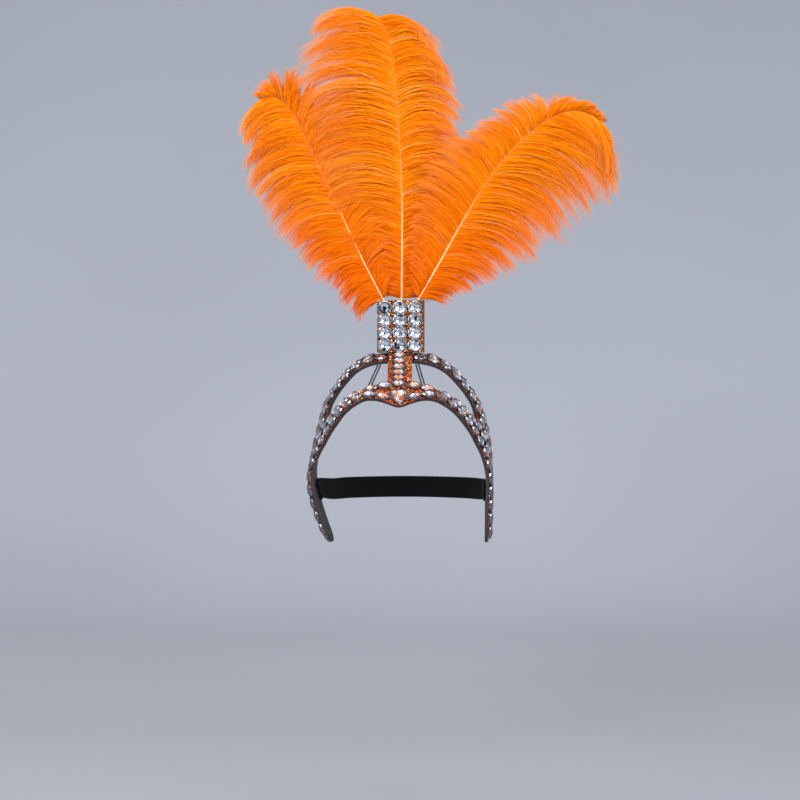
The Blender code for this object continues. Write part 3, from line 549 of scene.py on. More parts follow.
def add_rod(bm, stations, sides):
    """A closed round rod through the stations (point, heading, radius). It gives each ring's vertices."""
    rings = []
    ends = (0, len(stations) - 1)
    for i, (point, heading, radius) in enumerate(stations):
        turn = heading.normalized().to_track_quat("Z", "Y").to_matrix().to_4x4()
        ring = bmesh.ops.create_circle(bm, segments=sides, radius=radius, cap_ends=i in ends,
                                       matrix=Matrix.Translation(point) @ turn)
        rings.append(ring["verts"])
    bridge_rings(bm, [list({edge for vert in ring for edge in vert.link_edges}) for ring in rings])
    bmesh.ops.recalc_face_normals(bm, faces=bm.faces)
    return rings


def map_faces(bm, layer, places):
    """Smooths every face and sets its corners on the piece's own map."""
    for face in bm.faces:
        face.smooth = True
        for corner in face.loops:
            corner[layer].uv = places[corner.vert]


def smooth_point(rows, t):
    """A point of the smooth curve through the rows, at row number t."""
    k = min(int(t), len(rows) - 2)
    f = t - k
    p1, p2 = Vector(rows[k]), Vector(rows[k + 1])
    p0 = Vector(rows[k - 1]) if k else 2 * p1 - p2
    p3 = Vector(rows[k + 2]) if k + 2 < len(rows) else 2 * p2 - p1
    return 0.5 * (
        2 * p1 + (p2 - p0) * f + (2 * p0 - 5 * p1 + 4 * p2 - p3) * f * f + (3 * p1 - p0 - 3 * p2 + p3) * f**3
    )


def edge_rows(name):
    """One edge curve's points, with one more beyond the centre line that mirrors the second."""
    rows = [getattr(section, name) for section in SECTIONS]
    return [(-rows[1][0], *rows[1][1:]), *rows]


EDGES = {name: edge_rows(name) for name in Section._fields}


def ramp(change, z):
    """How much of a gradual change is reached at this height."""
    return min(1.0, max(0.0, (change["start"] - z) / change["span"]))


def edge_point(name, t, side):
    """A point of one edge curve at section t, on the right (1) or the left (-1)."""
    point = smooth_point(EDGES[name], t + 1)
    if t >= WINDOW_END and name in ("band", "arch"):
        other = "arch" if name == "band" else "band"
        point = (point + smooth_point(EDGES[other], t + 1)) / 2
    if side < 0:
        point.x = -point.x
        below = (BEND["start"] - point.z) / BEND["span"]
        point.x += BEND["inward"] * max(0.0, below) ** BEND["power"]
        point.x -= LEFT_SPREAD["outward"] * ramp(LEFT_SPREAD, point.z)
        if name == "rear":
            point.x += REAR_TURN["inward"] * ramp(REAR_TURN, point.z)
    return point


def strip_point(strip, t, across, side):
    """A point of the band (front to band edge) or of the arch (arch edge to rear edge)."""
    low, high = ("front", "band") if strip == "band" else ("arch", "rear")
    return edge_point(low, t, side).lerp(edge_point(high, t, side), across)


def strip_axes(strip, t, across, side):
    """Unit vectors along the strip, across it and out of it."""
    step = 0.05
    along = strip_point(strip, min(t + step, LAST), across, side)
    along = (along - strip_point(strip, max(t - step, 0), across, side)).normalized()
    over = strip_point(strip, t, 1, side) - strip_point(strip, t, 0, side)
    out = along.cross(over).normalized() * side
    return along, out.cross(along).normalized(), out


def edge_run(name, first):
    """One edge curve from flap to flap, or from section first down one side after the other."""
    steps = [i / COLUMNS_PER_SECTION for i in range(LAST * COLUMNS_PER_SECTION + 1)]
    steps = [first] + [t for t in steps if t > first]
    left = [edge_point(name, t, -1) for t in reversed(steps)]
    right = [edge_point(name, t, 1) for t in steps]
    return [left[:-1] + right] if first == 0 else [left, right]


def frame_sheet(arch_start):
    """The frame's outer face: strips bridged between the edge curves, with its faces pointing out."""
    bm = bmesh.new()
    for low, high, first in (("front", "band", 0), ("arch", "rear", arch_start)):
        for low_run, high_run in zip(edge_run(low, first), edge_run(high, first)):
            edges = []
            for run in (low_run, high_run):
                verts = [bm.verts.new(point) for point in run]
                edges += [bm.edges.new(pair) for pair in zip(verts, verts[1:])]
            bmesh.ops.bridge_loops(bm, edges=edges)
    bmesh.ops.remove_doubles(bm, verts=bm.verts, dist=0.01)
    bmesh.ops.recalc_face_normals(bm, faces=bm.faces)
    brow = min(bm.faces, key=lambda face: abs(face.calc_center_median().x) + face.calc_center_median().y)
    if brow.normal.y > 0:
        bmesh.ops.reverse_faces(bm, faces=bm.faces)
    return bm


def add_block(bm, low, high):
    """A box between two corners."""
    size = Vector(high) - Vector(low)
    middle = (Vector(high) + Vector(low)) / 2
    place = Matrix.Translation(middle) @ Matrix.Diagonal((*size, 1))
    return bmesh.ops.create_cube(bm, size=1, matrix=place)["verts"]


def post_matrix():
    """Axes of the post: x across, y into the foam, z up along it, from its foot."""
    turn = Matrix.Rotation(-POST_LEAN, 4, "X")
    return Matrix.Translation((0, *POST_FOOT)) @ turn


def make_post_piece(name, depth, thickness, start, finish, rounding):
    """A flat piece of the leaning post, from start along it up to the block."""
    bm = bmesh.new()
    corners = (-POST_HALF_WIDTH, depth, start), (POST_HALF_WIDTH, depth + thickness, POST_LENGTH)
    bmesh.ops.transform(bm, matrix=post_matrix(), verts=add_block(bm, *corners))
    piece = finish_piece(name, bm, finish)
    soften(piece, rounding)
    return piece


def make_frame(foam, glitter):
    shell = finish_piece("foam_shell", frame_sheet(0), foam)
    wall(shell, -FOAM, 0)
    soften(shell, ROUNDING["shell"])
    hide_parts("foam_frame")

    post = make_post_piece("post_foam", POST_RECESS, FOAM, POST_FOAM_START, foam, ROUNDING["post"])

    facing = finish_piece("glitter_sheet", frame_sheet(ARCH_SHEET_START), glitter)
    wall(facing, GAP, FACING_TOP)
    soften(facing, ROUNDING["sheet"])
    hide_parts("glitter_facing")

    depth = POST_RECESS - FACING_TOP
    face = make_post_piece("post_sheet", depth, FACING, POST_SHEET_START, glitter, ROUNDING["sheet"])
    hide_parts("post_facing")


def make_tower(foam, glitter):
    """The block's wrap: a box bent from one sheet, its corners rounded, open at both ends."""
    half = TOWER_HALF_WIDTH + WRAP_FOLD
    bm = bmesh.new()
    add_block(bm, (-half, TOWER_FRONT, TOWER_BOTTOM), (half, TOWER_BACK, TOWER_TOP))
    ends = [face for face in bm.faces if abs(face.normal.z) > 0.5]
    bmesh.ops.delete(bm, geom=ends, context="FACES_ONLY")
    corners = [edge for edge in bm.edges if abs(edge.verts[0].co.z - edge.verts[1].co.z) > 1]
    bmesh.ops.bevel(bm, geom=corners, offset=WRAP_CORNER, affect="EDGES", segments=3, profile=0.5,
                    material=-1)
    wrap = finish_piece("tower_sheet", bm, glitter)
    wall(wrap, -FACING - WRAP_FOLD, 0)
    soften(wrap, ROUNDING["wrap"])
    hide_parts("tower_wrap")
    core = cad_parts["tower_core"]
    for slot in core.material_slots:
        slot.material = foam


def stone_outline(shape, corners, turned):
    """Corner points of a stone's outline at full size, on a circle of turns shared by all its levels."""
    points = []
    for i in range(corners):
        turn = 2 * math.pi * (i + 0.5 * turned) / corners
        along, up = math.cos(turn), math.sin(turn)
        if shape == "round":
            points.append((ROUND_STONE / 2 * along, ROUND_STONE / 2 * up))
        elif shape == "pear":
            half = PEAR["size"] / 2
            points.append((up * math.sin(turn / 2) * PEAR["fullness"] * half, -along * half))
        else:
            length, width = NAVETTES[shape]
            points.append((length / 2 * along,
                           math.copysign(width / 2 * (1 - abs(along) ** NAVETTE_FULLNESS), up)))
    return points


def make_stone_template(shape):
    """A cut stone: the hull of its levels, with a table, star, bezel and girdle facets and a foiled back."""
    bm = bmesh.new()
    for level in STONE_LEVELS:
        for x, y in stone_outline(shape, level.corners, level.turned):
            bm.verts.new((x * level.scale, y * level.scale, level.height))
    bmesh.ops.remove_doubles(bm, verts=bm.verts, dist=0.02)
    bmesh.ops.convex_hull(bm, input=bm.verts)
    bmesh.ops.dissolve_limit(bm, angle_limit=math.radians(1), verts=bm.verts, edges=bm.edges)
    bmesh.ops.recalc_face_normals(bm, faces=bm.faces)
    for face in bm.faces:
        face.material_index = 1 if face.normal.z < -0.05 else 0
    return to_mesh("stone_template", bm)


def make_setting_template(shape):
    """A claw cup: a low wall round the stone, rolled over its girdle, with claws bent onto the crown."""
    bm = bmesh.new()
    outline = stone_outline(shape, CUP_CORNERS, False)
    bridge_rings(bm, [new_ring(bm, [(x * scale, y * scale, height) for x, y in outline])
                      for scale, height in CUP_LEVELS])
    for i in CLAW_CORNERS[shape]:
        foot = Vector((*outline[i], 0)) * CLAW_FOOT
        out = foot.normalized()
        side = Vector((-out.y, out.x, 0)) * CLAW_HALF_WIDTH
        path = [foot - out * inward + Vector((0, 0, height)) for inward, height in CLAW_PATH]
        edge = bm.edges.new([bm.verts.new(path[0] - side), bm.verts.new(path[0] + side)])
        for low, high in zip(path, path[1:]):
            edge = pull_out(bm, edge, high - low)
        tip = Matrix.Translation(-(edge.verts[0].co + edge.verts[1].co) / 2)
        bmesh.ops.scale(bm, vec=(CLAW_TIP, CLAW_TIP, 1), verts=list(edge.verts), space=tip)
    bmesh.ops.recalc_face_normals(bm, faces=bm.faces)
    return to_mesh("setting_template", bm)


def place_copies(template, matrices):
    """One bmesh with a copy of the template at each place."""
    bm = bmesh.new()
    for matrix in matrices:
        first = len(bm.verts)
        bm.from_mesh(template)
        bm.verts.ensure_lookup_table()
        bmesh.ops.transform(bm, matrix=matrix, verts=bm.verts[first:])
    return bm


def axes_matrix(centre, right, up, out):
    return Matrix.Translation(centre) @ Matrix((right, up, out)).transposed().to_4x4()


def across_at(row, t, side):
    """How far across its strip the row lies at section t."""
    width = (strip_point(row.strip, t, 1, side) - strip_point(row.strip, t, 0, side)).length
    share = min(1.0, row.inset / max(width, 0.1))
    return share if row.edge == "low" else 1 - share


def row_point(row, t, side):
    return strip_point(row.strip, t, across_at(row, t, side), side)


def row_length_table(row, side):
    """Pairs of section number and length along the row from the centre line."""
    per_section = 50
    steps = [i / per_section for i in range(LAST * per_section + 1)]
    points = [row_point(row, t, side) for t in steps]
    table = [(0.0, 0.0)]
    for t, before, here in zip(steps[1:], points, points[1:]):
        table.append((t, table[-1][1] + (here - before).length))
    return table


def clear_of(centre, along, placed):
    """Whether a stone keeps its own width and length from those already there."""
    for other, other_along, *_ in placed:
        apart = centre - other
        lengthways = abs(apart.dot((along + other_along).normalized()))
        sideways = math.sqrt(max(0.0, apart.length_squared - lengthways**2))
        needed = NEIGHBOUR["across"] * (1 - (lengthways / NEIGHBOUR["taper"]) ** 2) + NEIGHBOUR["gap"]
        if lengthways < NEIGHBOUR["along"] and sideways < needed:
            return False
    return True


def stone_places(side):
    """Centre and axes of each navette on one half."""
    placed = []
    for row in STONE_ROWS:
        table = row_length_table(row, side)
        length = row.first
        while length < min(row.last, table[-1][1] - ROW_END):
            t = next((t for t, run in table if run >= length), LAST)
            point = row_point(row, t, side)
            axes = strip_axes(row.strip, t, across_at(row, t, side), side)
            centre = point + axes[2] * STONE_SEAT
            edge = edge_point("front" if row.strip == "band" else "rear", t, side)
            if (point - edge).length > EDGE_MARGIN and clear_of(centre, axes[0], placed):
                placed.append((centre, *axes))
                length += NAVETTE_PITCH
            else:
                length += ROW_STEP
    return placed


def make_stone_group(name, shape, matrices, nodes, crystal, reflection_foil, plate):
    stones = finish_piece(name, place_copies(make_stone_template(shape), matrices), crystal, reflection_foil)
    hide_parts(*nodes)
    settings = finish_piece(name + "_settings", place_copies(make_setting_template(shape), matrices), plate)
    wall(settings, 0, CUP_WALL)


def make_stones(crystal, round_reflection_foil, reflection_foil, bright_plate, plate):
    finishes = (crystal, reflection_foil, plate)
    for side, name in ((-1, "band_stones_left"), (1, "band_stones_right")):
        matrices = [axes_matrix(*place) for place in stone_places(side)]
        make_stone_group(name.replace("stones", "crystals"), "navette", matrices, [name], *finishes)

    lean = post_matrix().to_3x3()
    right, out, up = lean.col[0], -lean.col[1], lean.col[2]
    seat = STONE_SEAT - POST_RECESS + POST_STONES["over_facing"]
    matrices = []
    for i in range(POST_STONES["count"]):
        along = POST_STONES["first"] + POST_STONES["pitch"] * i
        place = Vector((POST_STONES["x"], *POST_FOOT)) + up * along + out * seat
        matrices.append(axes_matrix(place, right, up, out))
    nodes = [f"post_stone_{i + 1}" for i in range(POST_STONES["count"])]
    make_stone_group("post_crystals", "post_navette", matrices, nodes, *finishes)

    right, up, out = strip_axes("band", 0, PEAR["across"], 1)
    centre = strip_point("band", 0, PEAR["across"], 1) + out * (STONE_SEAT + PEAR["lift"])
    matrices = [axes_matrix(centre, right, up, out)]
    make_stone_group("centre_crystal", "pear", matrices, ["centre_stone"], *finishes)

    grid = TOWER_STONES
    right, up, out = Vector((1, 0, 0)), Vector((0, 0, 1)), Vector((0, -1, 0))
    matrices, nodes = [], []
    for row in range(grid["rows"]):
        for column in range(grid["columns"]):
            x = grid["x"] + grid["x_pitch"] * (column - 1)
            z = grid["top_z"] - grid["z_pitch"] * row
            matrices.append(axes_matrix(Vector((x, TOWER_FRONT - grid["lift"], z)), right, up, out))
            nodes.append(f"tower_stone_{row + 1}_{column + 1}")
    make_stone_group("tower_crystals", "round", matrices, nodes, crystal, round_reflection_foil, bright_plate)


def glued_station(side, across):
    """A point just inside the flap, where the strap is glued, and the flap's outward direction there."""
    out = strip_axes("arch", STRAP_SECTION, across, side)[2]
    inner = FOAM + 2 * GAP + STRAP_THICKNESS / 2 + (BEND_CLEARANCE if side < 0 else 0)
    return strip_point("arch", STRAP_SECTION, across, side) - out * inner, out


def free_station(x, y):
    """A point of the strap round the back of the head, and the direction away from the head there."""
    return Vector((x, y, STRAP_HEIGHT)), Vector((x, y - HEAD_CENTRE_Y, 0)).normalized()


def make_strap(finish):
    """A flat band from flap to flap with eased edges: rings of its end face bridged along the path."""
    ends = [[glued_station(side, across) for across in STRAP_GLUED_ACROSS] for side in (-1, 1)]
    knots = [*ends[0], *[free_station(*place) for place in STRAP_BACK], *reversed(ends[1])]
    last = STEPS_PER_KNOT * (len(knots) - 1)
    path, outs = [[smooth_point(line, i / STEPS_PER_KNOT) for i in range(last + 1)] for line in zip(*knots)]
    bm = bmesh.new()
    layer = bm.loops.layers.uv.new("strap_run")
    run, rings, places = 0.0, [], {}
    for i, (point, out) in enumerate(zip(path, outs)):
        out = out.normalized()
        up = (path[min(i + 1, last)] - path[max(i - 1, 0)]).cross(out).normalized()
        near_end = max(0.0, 1 - min(i, last - i) / (TAPER_KNOTS * STEPS_PER_KNOT))
        half = (STRAP_WIDTH + (STRAP_END_WIDTH - STRAP_WIDTH) * near_end) / 2
        rings.append(new_ring(bm, [point + up * (a * half) + out * (b * STRAP_THICKNESS / 2)
                                   for a, b in STRAP_PROFILE]))
        for edge, (a, _) in zip(rings[-1], STRAP_PROFILE):
            places[edge.verts[0]] = (run, a * STRAP_WIDTH / 2)
        run += (path[min(i + 1, last)] - point).length
    bridge_rings(bm, rings)
    for ring in (rings[0], rings[-1]):
        bmesh.ops.contextual_create(bm, geom=[edge.verts[0] for edge in ring])
    bmesh.ops.recalc_face_normals(bm, faces=bm.faces)
    map_faces(bm, layer, places)
    strap = finish_piece("elastic_strap", bm, finish)
    strap.data.set_sharp_from_angle(angle=math.radians(40))
    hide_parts("strap")


def make_braces(finish):
    """Hairpins of round wire, each bent round at its lower end."""
    for brace in BRACES:
        ends = []
        for strip, t in (("arch", brace.arch_section), ("band", brace.band_section)):
            out = strip_axes(strip, t, BRACE_ACROSS[strip], brace.side)[2]
            depth = FOAM + GAP + WIRE_RADIUS + BRACE_CLEARANCE[strip]
            ends.append(strip_point(strip, t, BRACE_ACROSS[strip], brace.side) - out * depth)
        top, bottom = ends
        side = Vector((HAIRPIN_HALF_WIDTH, 0, 0))
        down = (bottom - top).normalized() * HAIRPIN_BEND
        turns = [math.pi * i / HAIRPIN_STEPS for i in range(HAIRPIN_STEPS + 1)]
        route = [top - side, top.lerp(bottom, 0.5) - side]
        route += [bottom - side * math.cos(a) + down * math.sin(a) for a in turns]
        route += [top.lerp(bottom, 0.5) + side, top + side]
        headings = [after - before for before, after in zip(route[:1] + route, route[1:] + route[-1:])]
        bm = bmesh.new()
        add_rod(bm, [(*station, WIRE_RADIUS) for station in zip(route, headings)], WIRE_SIDES)
        wire = finish_piece(brace.name.replace("brace", "wire"), bm, finish)
        wire.data.shade_smooth()
        wire.data.set_sharp_from_angle(angle=math.radians(50))
        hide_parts(brace.name)


def quill_row(plume, t):
    """The row number of the quill's table at a share t of its length."""
    rows = plume["quill"]
    runs = [math.dist(*pair) for pair in zip(rows, rows[1:])]
    reach = t * sum(runs)
    for k, run in enumerate(runs[:-1]):
        if reach <= run:
            return k + reach / run
        reach -= run
    return len(runs) - 1 + reach / runs[-1]


def quill_point(plume, t):
    """A point of the quill in space, from its foot at 0 to its tip at 1."""
    rows = plume["quill"]
    x, z, _ = smooth_point([(x, z, 0) for x, z in rows], quill_row(plume, t))
    foot, tip = plume["depth"]
    rise = (z - rows[0][1]) / (max(z for _, z in rows) - rows[0][1])
    return Vector((x, foot + (tip - foot) * max(0.0, rise) ** 1.4, z))


def quill_tangent(plume, t):
    step = 0.01
    return (quill_point(plume, min(1, t + step)) - quill_point(plume, max(0, t - step))).normalized()


def make_quill(name, plume, finish):
    """A tapered round horn quill, from inside the block to the plume's tip."""
    thick, thin = QUILL_RADIUS
    shares = [0.0] + [i / QUILL_STEPS for i in range(QUILL_STEPS + 1)]
    stations = [(quill_point(plume, t), quill_tangent(plume, t), thick + (thin - thick) * t**0.8)
                for t in shares]
    foot, heading, _ = stations[0]
    stations[0] = (foot - heading * QUILL_DEPTH, heading, thick)
    bm = bmesh.new()
    layer = bm.loops.layers.uv.new("quill_run")
    rings = add_rod(bm, stations, QUILL_SIDES)
    # Each vertex has its own place across the map, so that the streaks break up round the quill.
    map_faces(bm, layer, {vert: (t, 0.5 + 0.5 * math.sin(vert.index))
                          for ring, t in zip(rings, shares) for vert in ring})
    quill = finish_piece(name, bm, finish)
    return quill


def quill_arrays(plume, t):
    """Points and headings of the quill at many places, as arrays."""
    steps = np.linspace(0, 1, 201)
    points = np.array([quill_point(plume, s) for s in steps])
    tangents = np.array([quill_tangent(plume, s) for s in steps])
    point = np.stack([np.interp(t, steps, points[:, k]) for k in range(3)], axis=1)
    heading = np.interp(t, steps, np.unwrap(np.arctan2(tangents[:, 2], tangents[:, 0])))
    return point, heading


def vane_arrays(plume, t, side):
    """Length, angle and droop of the vane at many places, read from its rows."""
    at = [row.at for row in plume["vanes"]]
    word = "left" if side < 0 else "right"
    columns = (word, word + "_angle", word + "_droop")
    return [np.interp(t, at, [getattr(row, column) for row in plume["vanes"]]) for column in columns]


def clump_paths(plume, t, side, length_share, angle_change, droop_share, sway):
    """Paths that leave the quill at the places t: each rises at an angle, then droops under its weight."""
    root, heading = quill_arrays(plume, t)
    length, angle, droop = vane_arrays(plume, t, side)
    length = length * length_share
    start = heading - side * np.radians(angle + angle_change)
    droop = np.radians(droop) * droop_share * np.minimum(1, np.abs(np.cos(start)) + 0.35)
    turn = -np.sign(np.cos(start)) * droop
    depth = sway * (LOCK_SWAY[0] + (LOCK_SWAY[1] - LOCK_SWAY[0]) * t**1.6) + BACK_CURL * length / 90
    points = [root]
    headings = [start]
    for i in range(1, STRAND_STEPS + 1):
        middle = (i - 0.5) / STRAND_STEPS
        turned = start + turn * (middle + 0.06) ** 1.4
        step = np.stack([np.cos(turned), depth * 2 * middle / length, np.sin(turned)], axis=1)
        points.append(points[-1] + step * (length / STRAND_STEPS)[:, None])
        headings.append(turned)
    return np.stack(points, axis=1), np.stack(headings, axis=1)


def smooth_step(f, low, high):
    x = np.clip((f - low) / (high - low), 0, 1)
    return x * x * (3 - 2 * x)


def spread(rng, reach, count):
    return rng.uniform(-1, 1, count) * reach


def clump_places(clump, rng):
    """Where the clumps of a vane leave the quill, as shares of its length."""
    return np.clip((np.arange(clump.count) + 0.5 + spread(rng, clump.place, clump.count)) / clump.count, 0, 1)


def clump_traits(clump, rng):
    """Each clump's share of the vane's length, change of angle, share of its droop, and sway."""
    return (rng.uniform(*clump.length, clump.count), spread(rng, clump.angle, clump.count),
            1 + spread(rng, clump.droop, clump.count), spread(rng, clump.sway, clump.count))


def strand_paths(plume, side, rng):
    """Stations of every strand of one vane, the directions across them, and each strand's tone and place."""
    f = np.linspace(0, 1, STRAND_STEPS + 1)
    n = STRANDS_PER_VANE
    lock_t = clump_places(LOCKS, rng)
    tuft_t = clump_places(TUFTS, rng)
    strand_t = (np.arange(n) + rng.uniform(0, 1, n)) / n
    lock_of = np.abs(tuft_t[:, None] - lock_t[None, :]).argmin(axis=1)
    tuft_of = np.abs(strand_t[:, None] - tuft_t[None, :]).argmin(axis=1)
    strand_t += (tuft_t[tuft_of] - strand_t) * ROOT_PULL

    locks, tufts = clump_traits(LOCKS, rng), clump_traits(TUFTS, rng)
    length, angle, droop, sway = [trait[lock_of] for trait in locks]
    length, angle, droop, sway = length * tufts[0], angle + tufts[1], droop * tufts[2], sway + tufts[3]
    lock_points, _ = clump_paths(plume, lock_t, side, *locks)
    tuft_points, _ = clump_paths(plume, tuft_t, side, length, angle, droop, sway)
    pull = LOCKS.pull * smooth_step(f, 0.25, 1.0)[None, :, None]
    tuft_points += (lock_points[lock_of] - tuft_points) * pull

    stray = (rng.random(n) < FLYAWAY["share"]) & (strand_t < FLYAWAY["last"])
    reach = 1 - STRAND_SHORTENING * rng.random(n) ** 1.4
    own_angle = rng.normal(0, STRAND_NOISE["angle"], n) + stray * rng.uniform(*FLYAWAY["angle"], n)
    own_droop = 1 + rng.normal(0, STRAND_NOISE["droop"], n) + stray * rng.uniform(*FLYAWAY["droop"], n)
    points, headings = clump_paths(plume, strand_t, side, length[tuft_of] * reach,
                                   angle[tuft_of] + own_angle, droop[tuft_of] * own_droop, sway[tuft_of])
    # Each strand is compared with its tuft at the same distance from the quill, not at its own share.
    share = f[None, :] * reach[:, None] * STRAND_STEPS
    k = np.minimum(share.astype(int), STRAND_STEPS - 1)
    part = (share - k)[:, :, None]
    rows = tuft_of[:, None]
    tuft_line = tuft_points[rows, k] * (1 - part) + tuft_points[rows, k + 1] * part
    held = np.where(stray, FLYAWAY["pull"], 1.0)[:, None]
    pull = TUFTS.pull * smooth_step(share / STRAND_STEPS, 0.0, 0.3) * held
    points += (tuft_line - points) * pull[:, :, None]

    level = np.zeros_like(headings)
    across = np.stack([-np.sin(headings), level, np.cos(headings)], axis=2)
    ahead = np.stack([np.cos(headings), level, np.sin(headings)], axis=2)
    swell = np.sin(np.pi * f**0.8) + 0.35 * f
    fan = rng.normal(0, STRAND_NOISE["fan"], n)[:, None] * swell
    fan += STRAND_NOISE["wave"] * np.sin(rng.uniform(0, 6.3, n)[:, None] + 8 * f) * f
    points += across * fan[:, :, None]
    points[:, :, 1] += rng.normal(0, STRAND_NOISE["depth"], n)[:, None] * swell
    hooked = (rng.random(TUFTS.count) < HOOK["share"])[tuft_of] & ~stray
    bend = (smooth_step(f, HOOK["start"], 1.0)[None, :] * hooked[:, None])[:, :, None]
    points -= across * side * HOOK["side"] * bend + ahead * HOOK["back"] * bend**2

    lock_tone = rng.normal(0, 1, LOCKS.count)[lock_of]
    tuft_tone = rng.normal(0, 1, TUFTS.count)
    tone = 0.5 + (TONE_SPREAD["lock"] * lock_tone + TONE_SPREAD["tuft"] * tuft_tone)[tuft_of]
    tone += rng.normal(0, TONE_SPREAD["strand"], n)
    return points, across, np.clip(tone, 0.01, 0.98), strand_t


def ribbon_mesh(points, across, tone, tilt):
    """Thin tapered ribbons, one along each strand, with their own map: along and tone."""
    count, stations, _ = points.shape
    f = np.linspace(0, 1, stations)
    width = STRAND_WIDTH * (1 - 0.78 * f**1.6)
    lean = np.stack([np.zeros_like(tilt), np.sin(tilt), np.zeros_like(tilt)], axis=1)[:, None, :]
    edge = (across * np.cos(tilt)[:, None, None] + lean) * (width / 2)[None, :, None]
    verts = np.stack([points - edge, points + edge], axis=2).reshape(-1, 3)
    low = (np.arange(count)[:, None] * stations + np.arange(stations - 1)[None, :]).reshape(-1) * 2
    quads = np.stack([low, low + 1, low + 3, low + 2], axis=1)
    uv = np.stack([np.tile(np.repeat(f, 2), count), np.repeat(tone, 2 * stations)], axis=1)
    uv[1::2, 1] += MAP_STEP
    return verts, quads, uv


def fuzz_mesh(points, across, tone, strand_t, rng):
    """Short barbules along the strands, one thin spike each, and longer down near the quill's foot."""
    count, stations, _ = points.shape
    n = count * FUZZ_PER_STRAND
    strand = np.repeat(np.arange(count), FUZZ_PER_STRAND)
    at = rng.uniform(0.05, 0.97, n) * (stations - 1)
    k = np.minimum(at.astype(int), stations - 2)
    frac = (at - k)[:, None]
    base = points[strand, k] * (1 - frac) + points[strand, k + 1] * frac
    ahead = points[strand, k + 1] - points[strand, k]
    ahead /= np.linalg.norm(ahead, axis=1)[:, None]
    side = across[strand, k] * rng.choice([-1.0, 1.0], n)[:, None]
    depth = np.zeros((n, 3))
    depth[:, 1] = rng.uniform(-0.6, 0.6, n)
    lift = rng.uniform(0.3, 0.7, n)[:, None]
    downy = 1 - smooth_step(strand_t[strand], DOWN_END * 0.4, DOWN_END)
    reach = (FUZZ_LENGTH + (DOWN_LENGTH - FUZZ_LENGTH) * downy) * rng.uniform(0.4, 1.1, n)
    tip = base + (ahead + side * lift + depth) * reach[:, None]
    half = ahead * FUZZ_HALF_WIDTH
    verts = np.stack([base - half, base + half, tip], axis=1).reshape(-1, 3)
    tris = np.arange(n * 3).reshape(-1, 3)
    uv = np.stack([np.repeat(at / (stations - 1), 3), np.repeat(tone[strand], 3)], axis=1)
    uv[1::3, 1] += MAP_STEP
    uv[2::3, 0] += 0.02
    return verts, tris, uv


def vane_piece(name, plume, side, seed, finish):
    """One vane of a plume as one piece of ribbons and barbules."""
    rng = np.random.default_rng(seed)
    points, across, tone, strand_t = strand_paths(plume, side, rng)
    tilt = rng.uniform(-RIBBON_TILT, RIBBON_TILT, len(tone))
    verts, quads, uv = ribbon_mesh(points, across, tone, tilt)
    more, tris, more_uv = fuzz_mesh(points, across, tone, strand_t, rng)
    places = np.concatenate([verts, more]) - (0, SEAT_DEPTH, 0)
    corners = np.concatenate([quads.reshape(-1), tris.reshape(-1) + len(verts)])
    starts = np.concatenate([np.arange(len(quads)) * 4, len(quads) * 4 + np.arange(len(tris)) * 3])
    mesh = bpy.data.meshes.new(name)
    mesh.vertices.add(len(places))
    mesh.vertices.foreach_set("co", (places * MM).astype(np.float32).reshape(-1))
    mesh.loops.add(len(corners))
    mesh.loops.foreach_set("vertex_index", corners.astype(np.int32))
    mesh.polygons.add(len(starts))
    mesh.polygons.foreach_set("loop_start", starts.astype(np.int32))
    layer = mesh.uv_layers.new(name="OFBake")
    layer.data.foreach_set("uv", np.concatenate([uv, more_uv])[corners].astype(np.float32).reshape(-1))
    mesh.update(calc_edges=True)
    mesh.validate()
    piece = link_piece(name, mesh, finish)


def make_plumes(barbs, horn):
    for i, (name, plume) in enumerate(PLUMES.items()):
        quill = make_quill(name.replace("plume", "quill"), plume, horn)
        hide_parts(name)
        for side, word in ((-1, "near_left"), (1, "near_right")):
            vane_piece(f"{name}_{word}", plume, side, FIRST_SEED + 2 * i + (side > 0), barbs)


def place_camera():
    data = bpy.data.cameras.new("camera")
    data.sensor_width = SENSOR
    data.lens = SENSOR * CAMERA_DISTANCE / VIEW_WIDTH
    camera = link_object("camera", data)
    away = Vector((math.sin(CAMERA_AZIMUTH), -math.cos(CAMERA_AZIMUTH), 0))
    camera.location = CAMERA_TARGET + away * CAMERA_DISTANCE
    camera.rotation_euler = (-away).to_track_quat("-Z", "Y").to_euler()
    bpy.context.scene.camera = camera


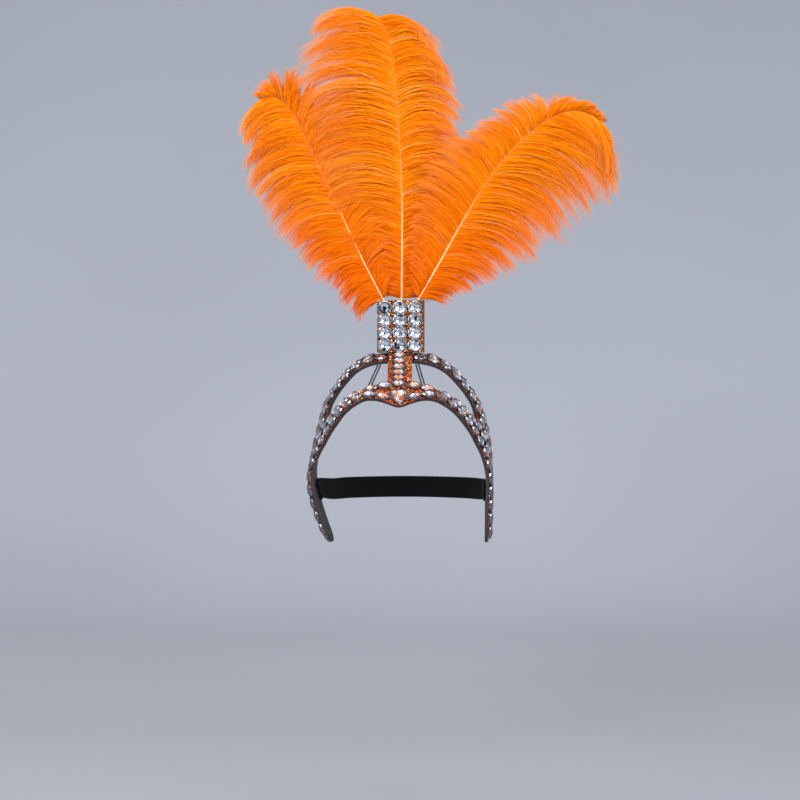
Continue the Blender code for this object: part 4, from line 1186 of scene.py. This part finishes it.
def make_set():
    """The floor, drawn back from its near edge, then up, with a wide bend between."""
    bm = bmesh.new()
    near = bm.edges.new([bm.verts.new((x, -FLOOR_REACH, FLOOR_Z)) for x in (FLOOR_REACH, -FLOOR_REACH)])
    bend = pull_out(bm, near, (0, FLOOR_REACH + BACKDROP_Y, 0))
    pull_out(bm, bend, (0, 0, BACKDROP_HEIGHT))
    bmesh.ops.bevel(bm, geom=[bend], offset=BACKDROP_BEND, affect="EDGES", segments=24, profile=0.5,
                    material=-1)
    mesh = to_mesh("studio_floor", bm)
    mesh.shade_smooth()
    mesh.materials.append(backdrop_paper())
    link_object("studio_floor", mesh)


def make_light():
    for box in SOFTBOXES:
        data = bpy.data.lights.new(box.name, "AREA")
        data.shape = "RECTANGLE"
        data.size, data.size_y = box.size
        data.energy = box.power
        data.color = linear(box.colour)[:3]
        light = link_object(box.name, data)
        light.location = box.place
        light.rotation_euler = (LIGHT_AIM - Vector(box.place)).to_track_quat("-Z", "Y").to_euler()
    world = bpy.data.worlds.new("studio")
    world.use_nodes = True
    place = add(world, "TexCoord", out="Generated")
    rise = add(world, "SeparateXYZ", {"Vector": place}, out="Z")
    height = add(world, "MapRange", {"Value": rise, "From Min": -1.0, "From Max": 1.0})
    sky = add(world, "ValToRGB", {"Fac": height}, stops=[
        (0.0, "#7c8089"), (0.45, "#8c9099"), (0.6, "#b9bcc6"), (1.0, "#eef0f5")])
    fill(world.node_tree.nodes["Background"], {"Color": sky, "Strength": 0.9})
    bpy.context.scene.world = world


def main():
    place_camera()
    foam = eva_foam()
    glitter = glitter_sheet("copper_glitter_with_painted_glints", BAND_FLAKE_TONES_AND_GLINTS)
    dark_glitter = glitter_sheet("bronze_glitter_with_painted_glints", TOWER_FLAKE_TONES_AND_GLINTS)
    make_frame(foam, glitter)
    make_tower(foam, dark_glitter)
    make_stones(cut_crystal(), foil_with_painted_reflections("silver_foil_painted_reflections", ROUND_FOIL_REFLECTIONS, 4.2, 0.10, 0.0),
                foil_with_painted_reflections("pale_foil_painted_reflections", NAVETTE_FOIL_REFLECTIONS, 4.2, 0.32, 0.55),
                plated_setting("bright_plating", "#d2d4da"), plated_setting("dark_plating", "#85878e"))
    make_strap(woven_elastic())
    make_braces(coated_wire())
    make_plumes(ostrich_barbs(), plume_quill())
    make_set()
    make_light()
    bpy.context.scene.view_settings.view_transform = "Standard"


main()
